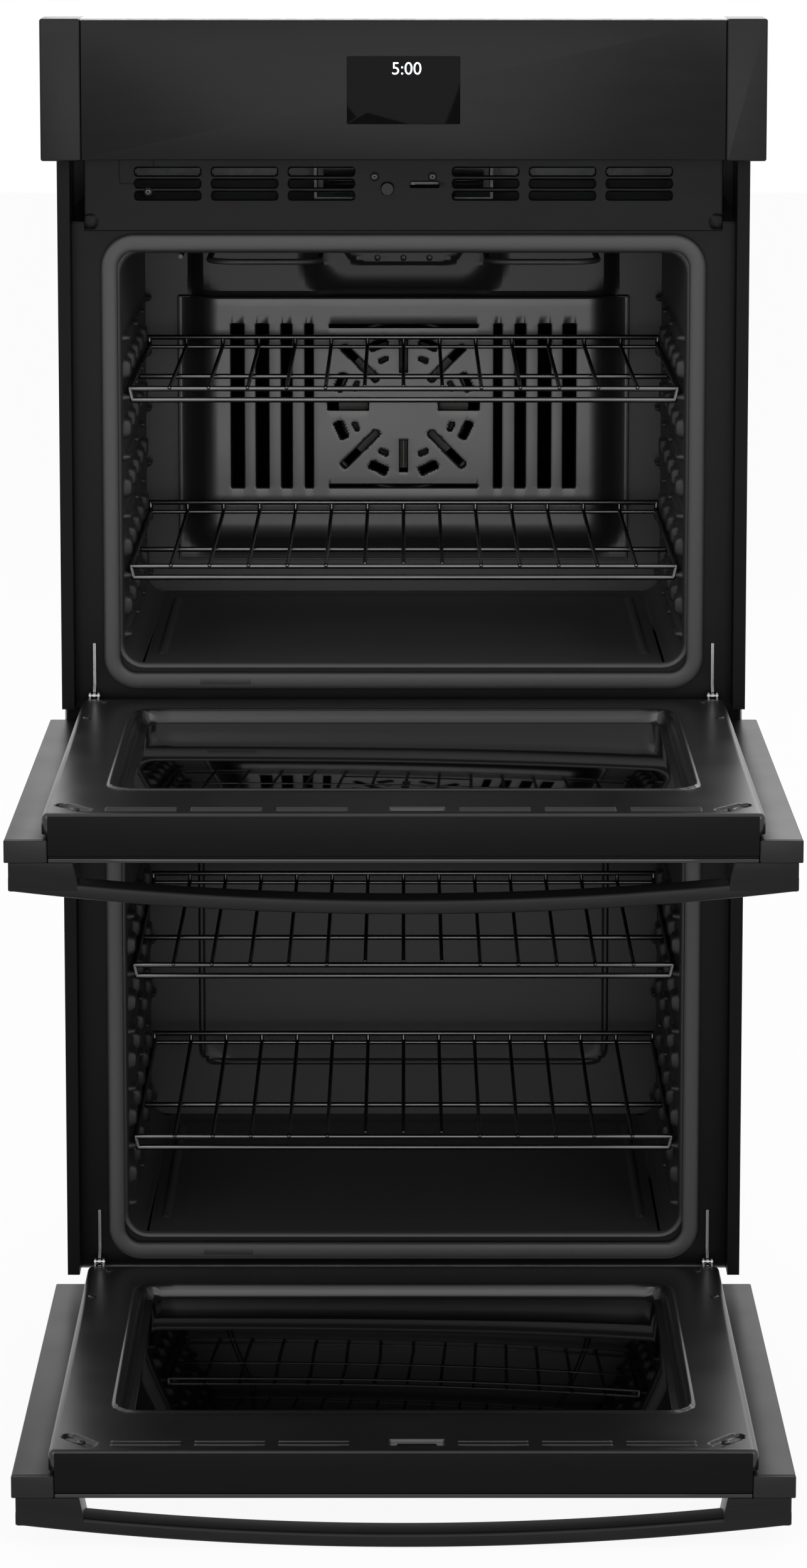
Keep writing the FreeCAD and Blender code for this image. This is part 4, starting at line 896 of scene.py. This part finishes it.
@dataclass
class OvenCavity:
    """One enamelled cavity: pressed walls, floor, back and front flange."""

    node: str
    floor: float
    back: float = 455.0
    across: float = 299.0
    height: float = 440.0
    corner: float = 22.0
    lip: float = 5.0
    first_guide: float = 30.7
    pitch: float = 64.0
    guide_rise: float = 8.2

    def build(self) -> None:
        """Build the shell, its back wall and its flange."""
        low, high = edges(self.node)
        room = Maker(Place((0, 0, self.floor * MM)))
        self._flange(room, low, high)
        for side in (-1, 1):
            self._side_wall(side, low.y)
        self._floor_pan(room, low.y)
        self._ceiling(room, low.y)
        self._back_wall(room)
        room.piece(f"{self.node}_shell", [ENAMEL, BLACK_PAINT], "chassis", [self.node], "black_enamel")

    def _flange(self, room: Maker, low: Vector, high: Vector) -> None:
        """Build the flat frame round the mouth and the mouth's rounded lip.

        Args:
            room: the piece.
            low: the plain node's lowest corner.
            high: its highest corner.
        """
        front = low.y
        mouth = (self.across, (0.0, self.height))
        rings = []
        outline = ((low.x, high.x), (low.z - self.floor, high.z - self.floor))
        levels = [(outline, 2.0, 1.5), (outline, 2.0, 0.0)]
        for points, corner, deep in levels:
            loop = round_loop(*points, corner, 6)
            rings.append(np.column_stack([loop[:, 0], np.full(len(loop), front + deep), loop[:, 1]]))
        for angle in (0, 20, 40, 60, 80, 90):
            grow = self.lip * (1 - math.sin(math.radians(angle)))
            deep = self.lip * (1 - math.cos(math.radians(angle)))
            loop = round_loop((-mouth[0] - grow, mouth[0] + grow), (mouth[1][0] - grow, mouth[1][1] + grow),
                              self.corner + grow, 6)
            rings.append(np.column_stack([loop[:, 0], np.full(len(loop), front + deep), loop[:, 1]]))
        loop = round_loop((-mouth[0], mouth[0]), mouth[1], self.corner, 6)
        rings.append(np.column_stack([loop[:, 0], np.full(len(loop), self.back - 8), loop[:, 1]]))
        room.loft(rings[:3], caps=(False, False), finish=1)
        room.loft(rings[2:-1], caps=(False, False))
        corners = Maker(room.place)
        for a in range(4):
            first = a * 7
            index = [(first + k) % 28 for k in range(7)]
            corners.loft([rings[-2][index], rings[-1][index]], caps=(False, False), closed=False)
        room.add(np.vstack(corners.points), corners.faces)

    def _side_wall(self, side: int, front: float) -> None:
        """Press one side wall with its six rack guides.

        Args:
            side: -1 for the left wall, 1 for the right.
            front: depth of the frame's face.
        """
        place = Place((side * self.across * MM, 0, self.floor * MM), (0, 1, 0), (0, 0, 1), (-side, 0, 0))
        wall = Maker(place)
        rise = self.guide_rise
        shapes = []
        start, end = front + 16, self.back - 12
        for level in range(6):
            up = self.first_guide + level * self.pitch
            shapes.append(Press((start + end) / 2, up - 3.2, (end - start) / 2, 5.6, rise * 0.55, 5.5, 4.5))
            for deep in (start + 14, (start + end) / 2 - 60, (start + end) / 2 + 60, end - 16):
                shapes.append(Press(deep, up - 3.4, 15, 4.6, rise * 0.45, 4.5, 2.6))
            if level < 5:
                for deep in np.arange(start + 22, end - 30, 76):
                    shapes.append(Press(deep, up + self.pitch / 2 - 5, 18, 13, rise * 0.95, 8, 5.5))
        wall.sheet((front + self.lip, self.back - 1), (self.corner, self.height - self.corner), shapes, 9, 0,
                   least=0.9)
        name = f"{self.node}_{'left' if side < 0 else 'right'}_guides"
        wall.piece(name, [ENAMEL], "chassis", slot="black_enamel")

    def _floor_pan(self, room: Maker, front: float) -> None:
        """Press the floor with its sunken middle.

        Args:
            room: the piece.
            front: depth of the frame's face.
        """
        pan = Maker(Place((0, 0, self.floor * MM)))
        deep = (front + self.lip + self.back) / 2
        reach = (self.back - front - self.lip) / 2
        shapes = [Press(0, deep + 6, self.across - 30, reach - 26, -1.2, 26, 16)]
        shapes += [Press(side * (self.across - 38), deep, 6, reach - 46, 2.4, 5.5, 5) for side in (-1, 1)]
        half = self.across - self.corner
        pan.sheet((-half, half), (front + self.lip, self.back), shapes, 14)
        room.add(np.vstack(pan.points), pan.faces)

    def _ceiling(self, room: Maker, front: float) -> None:
        """Press the ceiling with two shallow ribs.

        Args:
            room: the piece.
            front: depth of the frame's face.
        """
        lid = Maker()
        shapes = [Press(0, deep, self.across - 60, 10, 2.5, 9, 6) for deep in (110, 330)]
        half = self.across - self.corner
        lid.sheet((-half, half), (front + self.lip, self.back), shapes, 16)
        points = np.vstack(lid.points) * np.array([1, 1, -1]) + np.array([0, 0, self.height])
        room.add(points, lid.faces)

    def _back_wall(self, room: Maker) -> None:
        """Press the back wall.

        Args:
            room: the piece.
        """
        wall = Maker()
        if self.node.startswith("upper"):
            shapes = [Press(0, 402, 250, 66, 32, 30, 20), Press(0, 414, 122, 78, -31, 60, 30),
                      Press(0, 436, 70, 54, 12, 24, 6)]
            shapes += [Press(side * 30, 392, 3.4, 3.4, -3, 3.3, 1.0) for side in (-1, 0, 1)]
        else:
            shapes = [Press(0, 260, 238, 196, 3.4, 22, 2.4, bead=8)]
        wall.sheet((-self.across, self.across), (0, self.height), shapes, 12)
        points = np.vstack(wall.points)
        points = np.column_stack([points[:, 0], self.back - points[:, 2], points[:, 1]])
        room.add(points, wall.faces)


@dataclass
class DoorSeals:
    """The woven seals round both mouths, each with its joining sleeve."""

    floors: tuple[float, float]
    node: str = "door_gaskets"
    width: float = 18.0
    corner: float = 36.0
    low_gap: float = 27.6
    high: float = 460.5
    sleeve: tuple[float, float] = (-217.0, -163.0)

    def build(self) -> None:
        """Build both seals as one piece and both sleeves as another."""
        low, high = edges(self.node)
        seal = Maker()
        cuffs = Maker()
        for floor in self.floors:
            rings = []
            for a in range(20):
                turn = 2 * math.pi * a / 20
                power = 0.75
                out = (abs(math.cos(turn)) ** power) * math.copysign(1, math.cos(turn))
                rise = (abs(math.sin(turn)) ** power) * math.copysign(1, math.sin(turn))
                inset = self.width / 2 - out * self.width / 2
                deep = (low.y + high.y) / 2 - rise * (high.y - low.y) / 2
                loop = round_loop((low.x + inset, high.x - inset), (floor - self.low_gap + inset,
                                  floor + self.high - inset), self.corner - inset, 14,
                                  marks=(0.25, 0.5, 0.75), marks_along=(0.25, 0.5, 0.75))
                rings.append(np.column_stack([loop[:, 0], np.full(len(loop), deep), loop[:, 1]]))
            seal.loft(rings, joined=True)
            start, end = self.sleeve
            path = []
            for across, grow in ((start, 0.0), (start + 0.5, 0.3), (end - 0.5, 0.3), (end, 0.0)):
                turn = np.linspace(0, 2 * math.pi, 20, endpoint=False)
                deep = (low.y + high.y) / 2 - np.sin(turn) * ((high.y - low.y) / 2 + grow * 0.5)
                up = floor - self.low_gap + self.width / 2 + np.cos(turn) * (self.width / 2 + grow)
                path.append(np.column_stack([np.full(20, across), deep, up]))
            cuffs.loft(path)
        seal.piece("door_seals", [BRAID_SEAL], "chassis", [self.node], "gasket_rubber")
        cuffs.piece("seal_sleeves", [SEAL_SLEEVE], "chassis", slot="gasket_rubber")


@dataclass
class ConvectionCover:
    """The louvred cover over the convection fan."""

    node: str = "convection_cover"
    axis_up: float = 182.9
    slope_side: float = 36.0
    rise: float = 30.0

    def build(self) -> None:
        """Press the cover and cut its slots."""
        low, high = edges(self.node)
        cover = Maker(facing_out(0, high.y * MM, low.z * MM))
        tall = high.z - low.z
        face = Press(0, tall / 2 + 24, high.x - 4, tall / 2 + 22, self.rise - 2, 44, self.slope_side)
        shapes = [face, *self._louvres(), *self._wheel()]
        cover.sheet((low.x, high.x), (0, tall), shapes, 10, 1.5, 1.5, 1.5, least=0.55)
        # A near-black sheet behind the louvres is painted shade, seen dark through the slots.
        cover.slab((-225, 225), (70, tall - 12), (0.3, 0.9), 0.2, 20, 1)
        # The cover takes the lighter enamel copy, whose base colour is painted light.
        cover.piece("cover_sheet", [LIT_COVER_ENAMEL, PAINTED_SHADE], "chassis", [self.node], "black_enamel", thick=1.2)

    def _louvres(self) -> list[Press]:
        """List the four upright louvres on each side."""
        columns = (191.6, 163.0, 134.9, 108.9)
        widths = (8.4, 8.2, 7.0, 5.6)
        made = []
        for across, half in zip(columns, widths):
            for side in (-1, 1):
                made.append(Press(side * across, self.axis_up, half + 0.6, 97, -4, 3.5, 1.2, open=True))
                made.append(Press(side * (across + half - 1), self.axis_up, 3.2, 97, -0.1, 2.5, 2.0))
        return made

    def _wheel(self) -> list[Press]:
        """List the slots that stand round the fan's axis."""
        made = [Press(0, self.axis_up + way * 93.5, 87, 3.4, -3, 3, 1.0, open=True) for way in (-1, 1)]
        made += [Press(0, self.axis_up + way * 58, 6, 20, -3, 2.2, 1.0, open=True) for way in (-1, 1)]
        made += [Press(side * 64, self.axis_up, 25, 6, -3, 4, 1.0, open=True) for side in (-1, 1)]
        for across in (-1, 1):
            for up in (-1, 1):
                lean = across * up
                made.append(Press(across * 50, self.axis_up + up * 50, 30, 5.5, -3, 4, 1.0, turn=45 * lean,
                                  open=True, fine=1.5))
                made.append(Press(across * 29, self.axis_up + up * 72, 12, 6, -3, 3.5, 1.0, turn=-25 * lean,
                                  open=True, fine=1.5))
                made.append(Press(across * 72, self.axis_up + up * 28, 6, 12, -3, 3.5, 1.0, turn=25 * lean,
                                  open=True, fine=1.5))
                made.append(Press(across * 23, self.axis_up + up * 54, 6.5, 3.6, -3, 3, 0.8,
                                  turn=-25 * lean, open=True, fine=1.5))
                made.append(Press(across * 55, self.axis_up + up * 24, 3.6, 6.5, -3, 3, 0.8,
                                  turn=25 * lean, open=True, fine=1.5))
        return made


@dataclass
class WireRack:
    """One wire rack with its raised back and dropped front."""

    node: str
    rim: float = 3.0
    wire: float = 2.2
    lip: float = 12.0
    stop: float = 11.0
    middle: float = 135.0
    wires: int = 13
    short: int = 1

    def build(self) -> None:
        """Bend and weld the rack's wires."""
        low, high = edges(self.node)
        plane = low.z + self.lip + self.rim
        front, rear = low.y + self.rim, high.y - self.rim
        edge = high.x - self.rim
        rack = Maker()
        for side in (-1, 1):
            rack.tube([(side * edge, front, plane), (side * edge, rear - 8, plane),
                       (side * edge, rear - 2, plane + 2), (side * edge, rear, plane + 6),
                       (side * edge, rear, plane + self.stop)], self.rim, dome=True)
            inner = edge - 3
            rack.tube([(side * edge, front, plane), (side * (edge - 0.5), front, plane - 3),
                       (side * (inner + 1.0), front, plane - self.lip + 2),
                       (side * inner, front, plane - self.lip)], self.rim, dome=True)
        inner = edge - 3
        rack.tube([(-edge, front, plane), (edge, front, plane)], self.rim, dome=True)
        under = plane - self.lip
        rack.tube([(-inner, front, under), (inner, front, under)], self.rim, 12, dome=True)
        rack.tube([(-edge, rear, plane + self.stop), (edge, rear, plane + self.stop)], self.rim, dome=True)
        rack.tube([(-edge + 1, rear, plane), (edge - 1, rear, plane)], self.rim * 0.8)
        under = edge - 4
        rack.tube([(-under, front + self.middle, plane - 3.8), (under, front + self.middle, plane - 3.8)],
                  self.rim, dome=True)
        half = self.wires // 2
        pitch = (edge - 22) / (half + 0.5)
        for number in range(-half, half + 1):
            across = number * pitch
            if abs(number) <= self.short:
                path = [(across, front + 13, plane + 1), (across, rear - 3, plane + 1)]
            else:
                path = [(across, front - 2.6, plane + 1.2), (across, front + 8, plane + 1.2),
                        (across, rear - 3, plane + 1)]
            path += [(across, rear - 0.5, plane + 3.5), (across, rear, plane + self.stop)]
            rack.tube(path, self.wire, 8, dome=True)
        rack.piece(f"{self.node}_wires", [DARK_WIRE], f"{self.node}_body", [self.node], "rack_wire", sharp=60)


@dataclass
class OvenDoor:
    """One drop-down door, drawn open and level about its hinge axis."""

    name: str
    pivot: float
    axis_deep: float = -7.2
    front: float = -47.8
    back: float = 1.1
    top: float = 569.8
    half: float = 377.8
    window: tuple[float, float, float] = (284.0, 73.0, 462.0)
    recess: float = 12.0
    handle_half: float = 373.7
    handle_stand: float = 27.6
    bow: float = 22.4
    bar_wall: float = 14.0
    bar_deep: float = 32.0
    vents: tuple[float, ...] = (86.5, 167.5, 248.5)

    def maker(self) -> Maker:
        """Start a piece in the door's own axes: across, up the closed door, and back."""
        return Maker(Place((0, self.axis_deep * MM, self.pivot), (1, 0, 0), (0, -1, 0), (0, 0, 1)))

    def build(self) -> None:
        """Build every visible piece of the door."""
        self._liner()
        self._pane()
        self._stiles()
        self._trim()
        self._glass()
        self._handle()
        self._screws()

    def _liner(self) -> None:
        """Press the enamelled liner with its window recess and bars."""
        low, high = edges(f"{self.name}_liner")
        half, near, far = self.window
        middle, reach = (near + far) / 2, (far - near) / 2
        shapes = [Press(0, middle, half + 1, reach + 1, 1.7, 27, 2.4, bead=7),
                  Press(0, middle, half - 3, reach - 3, -self.recess, 23, 6)]
        for across in (*self.vents, *(-x for x in self.vents)):
            shapes += [Press(across, self.top - gap, 34.5, 2.2, 1.4, 2.1, 1.6) for gap in (17, 26)]
        shapes += [Press(side * 313, self.top - 30, 22, 8, -2.6, 7.9, 2, turn=-45 * side, fine=1.6)
                   for side in (-1, 1)]
        shapes.append(Press(13, self.top - 24.5, 27, 9, -6, 1.6, 2.2))
        liner = self.maker()
        liner.sheet((low.x, high.x), (self.liner_low(low, high), self.top - 1.2), shapes, 14,
                    self.back - 1.8, 6.0, 20.0)
        # Two near-black bars in the latch pocket are painted shade.
        for gap in (21, 28):
            liner.slab((-6, 32), (self.top - gap - 1.6, self.top - gap + 1.6),
                       (self.back - 7, self.back - 5), 0.6, 1.5, 1)
        liner.piece(f"{self.name}_liner_sheet", [DOOR_ENAMEL, PAINTED_SHADE], self.name, [f"{self.name}_liner"],
                    "black_enamel", thick=1.0)

    def liner_low(self, low: Vector, high: Vector) -> float:
        """Give the liner's edge by the hinge."""
        return self.axis_deep - high.y if high.y < 0 else 10.0

    def _pane(self) -> None:
        """Lay the window's inner pane on its ledge, in place of the plain window panes."""
        half, near, far = self.window
        pane = self.maker()
        level = self.back - self.recess - 1.8
        pane.slab((-half + 17, half - 17), (near + 17, far - 17), (level, level + 1.0), 0.5, 16)
        pane.piece(f"{self.name}_pane", [MIRROR_PANE], self.name, [f"{self.name}_window_panes"],
                   "window_glass")

    def _stiles(self) -> None:
        """Round off the two side stiles and their end caps."""
        stiles = self.maker()
        for side in (-1, 1):
            span = tuple(sorted((side * (self.half - 41.5), side * self.half)))
            stiles.slab(span, (-4.2, self.top - 4.4), (self.front, self.front + 21.6), 1.6, 1.7)
            stiles.slab(span, (self.top - 4.1, self.top), (self.front, self.front + 21.6), 0.9, 2.0, 1)
        stiles.piece(f"{self.name}_side_stiles", [DARK_STEEL, MOULDED], self.name, [f"{self.name}_stiles"],
                     "black_stainless")

    def _trim(self) -> None:
        """Cover the door's top edge."""
        trim = self.maker()
        trim.slab((-336, 336), (self.top - 1.25, self.top - 0.1), (self.front + 6.8, self.back - 4), 0.5, 3)
        # A near-black strip in the gap under the top trim, behind the glass's top edge, is painted shade.
        trim.slab((-336, 336), (self.top - 9, self.top - 1.3), (self.front + 4.2, self.front + 6.4),
                  0.4, 1, 1)
        trim.piece(f"{self.name}_edge_trim", [TRIM_PAINT, PAINTED_SHADE], self.name, [f"{self.name}_top_trim"],
                   "black_paint")

    def _glass(self) -> None:
        """Set the front glass with its ground edges."""
        glass = self.maker()
        glass.slab((-336.1, 336.1), (-4.0, self.top - 0.4), (self.front, self.front + 4), 0.8, 1.4)
        glass.piece(f"{self.name}_glass", [FRONT_GLASS], self.name, [f"{self.name}_front_glass"],
                    "black_glass")

    def _handle(self) -> None:
        """Bend the bowed bar and set its two slanted posts."""
        radius = (self.handle_half ** 2 + self.bow ** 2) / (2 * self.bow)
        bar = self.maker()
        rings = []
        ends = self.front - self.handle_stand
        for across in np.linspace(-self.handle_half, self.handle_half, 61):
            rise = math.sqrt(radius ** 2 - across ** 2) - math.sqrt(radius ** 2 - self.handle_half ** 2)
            outer = ends - rise
            loop = round_loop((self.top - self.bar_deep, self.top - 0.3),
                              (outer, outer + self.bar_wall), 3.2, 5)
            rings.append(np.column_stack([np.full(len(loop), across), loop]))
        bar.loft(rings)
        bar.piece(f"{self.name}_bowed_bar", [DARK_STEEL], self.name, [f"{self.name}_handle_bar"],
                  "black_stainless")
        posts = self.maker()
        for side in (-1, 1):
            rings = []
            for part, inset in ((0, 0.0), (0.04, 0.0), (0.96, 0.0), (1.0, 0.8)):
                deep = self.front - part * self.handle_stand
                inner = self.handle_half - 61.6 - 5.5 * part + inset
                span = tuple(sorted((side * inner, side * (self.handle_half - inset))))
                loop = round_loop(span, (self.top - 40 + inset, self.top - inset), 2.0, 4)
                rings.append(np.column_stack([loop, np.full(len(loop), deep)]))
            posts.loft(rings)
        posts.piece(f"{self.name}_posts", [DARK_STEEL], self.name, [f"{self.name}_handle_posts"],
                    "black_stainless")

    def _screws(self) -> None:
        """Set the liner's screws."""
        screws = self.maker()
        for side in (-1, 1):
            for across, up in ((318, 30), (330, 115), (312, 539.8)):
                level = self.back - (4.2 if up > 500 else 1.7)
                screws.screw((side * across, up, level), 4.4, 0, 1, high=1.5)
        screws.piece(f"{self.name}_liner_screws", [DARK_SCREW, PAINTED_SHADE], self.name, [f"{self.name}_screws"],
                     "screw_steel")


@dataclass
class OuterCase:
    """The plated outer case: pressed ribs, louvres and screws on its sheets."""

    finishes: tuple[Finish, ...] = (GALVANISED, DARK_SCREW, PAINTED_SHADE)
    rib_heights: tuple[float, ...] = (250.0, 560.0, 870.0, 1160.0)

    def build(self) -> None:
        """Add the pressed skins to the sides and the back."""
        for side, node in ((-1, "side_panel_left"), (1, "side_panel_right")):
            low, high = edges(node)
            face = low.x if side < 0 else high.x
            place = Place(((face + side * 0.2) * MM, 0, 0), (0, 1, 0), (0, 0, 1), (side, 0, 0))
            skin = Maker(place)
            middle = (low.y + high.y) / 2 + 20
            shapes = [Press(middle, up, 190, 60, 2.4, 20, 5) for up in self.rib_heights]
            shapes += [Press(high.y - 40, up, 6, 30, 2.0, 5, 3) for up in self.rib_heights]
            skin.sheet((low.y + 52, high.y - 6), (low.z + 12, high.z - 12), shapes, 30, 0, 0.6, 0.8)
            for up in range(60, int(high.z) - 30, 180):
                skin.screw((high.y - 14, up, 0), 4, 1, 2)
            skin.piece(f"{node}_skin", self.finishes, "chassis", slot="chassis_steel")
        low, high = edges("back_cover")
        back = Maker(Place((0, (high.y + 0.2) * MM, 0), (1, 0, 0), (0, 0, 1), (0, 1, 0)))
        shapes = [Press(0, up, 250, 110, 2.4, 30, 6) for up in (300, 880)]
        shapes += [Press(across, up, 24, 2.4, -1.2, 2.3, 1.0) for across in (-150, -75, 0, 75, 150)
                   for up in range(540, 640, 14)]
        back.sheet((low.x + 8, high.x - 8), (low.z + 12, min(high.z - 12, 1255)), shapes, 30, 0, 0.6, 0.8)
        for up in range(60, 1240, 196):
            for side in (-1, 1):
                back.screw((side * (high.x - 16), up, 0), 4, 1, 2, high=1.6)
        back.piece("back_cover_skin", self.finishes, "chassis", slot="chassis_steel")


PLAIN_NODES: dict[str, Finish] = {
    "side_panel_left": GALVANISED, "side_panel_right": GALVANISED, "top_panel": GALVANISED,
    "base_panel": GALVANISED, "back_cover": GALVANISED, "duct_plates": BLACK_PAINT,
    "conduit_gland": MOULDED, "side_trims": TRIM_PAINT, "broil_elements": HEATER, "bake_elements": HEATER,
    "convection_element": HEATER, "convection_fan": HEATER, "convection_motor": MOTOR_CASE,
    "blower_housing": GALVANISED, "blower_rotor": MILL_SHEET, "oven_lamps": FROSTED,
    "temperature_probes": DARK_SCREW, "insulation_blankets": WOOL, "upper_door_insulation": WOOL,
    "lower_door_insulation": WOOL, "upper_door_hinges": HINGE_STEEL, "lower_door_hinges": HINGE_STEEL,
    "hinge_arms": HINGE_STEEL, "upper_latch_hook": DARK_SCREW, "lower_latch_hook": DARK_SCREW,
    "upper_door_plunger": MOULDED, "lower_door_plunger": MOULDED, "latch_mounts": MOULDED,
    "upper_door_bottom_rail": BLACK_PAINT, "lower_door_bottom_rail": BLACK_PAINT,
    "control_tray": GALVANISED, "control_board": LAMINATE,
}


FLOOR_RISES: dict[str, float] = {"upper": 33.8, "lower": 29.0}


def main() -> None:
    """Build the studio, dress the plain nodes and build every sub-assembly."""
    logging.basicConfig(level=logging.INFO, format="%(message)s")
    pivots = {joint["name"]: joint["pos_m"][2] for joint in frame["joints"] if "door_hinge" in joint["name"]}
    floors = {oven: pivots[f"{oven}_door_hinge"] / MM + rise for oven, rise in FLOOR_RISES.items()}
    Studio().build()
    for node, finish in PLAIN_NODES.items():
        dress(node, finish)
    ControlPanel().build()
    VentPanel("upper_vent_panel", floors["upper"]).build()
    VentPanel("middle_vent_panel", floors["lower"], screws=False).build()
    for oven, floor in floors.items():
        OvenCavity(f"{oven}_cavity", floor).build()
        for level in ("top", "bottom"):
            WireRack(f"{oven}_{level}_rack").build()
        OvenDoor(f"{oven}_door", pivots[f"{oven}_door_hinge"]).build()
    DoorSeals((floors["upper"], floors["lower"])).build()
    ConvectionCover().build()
    OuterCase().build()


if __name__ == "__main__":
    main()
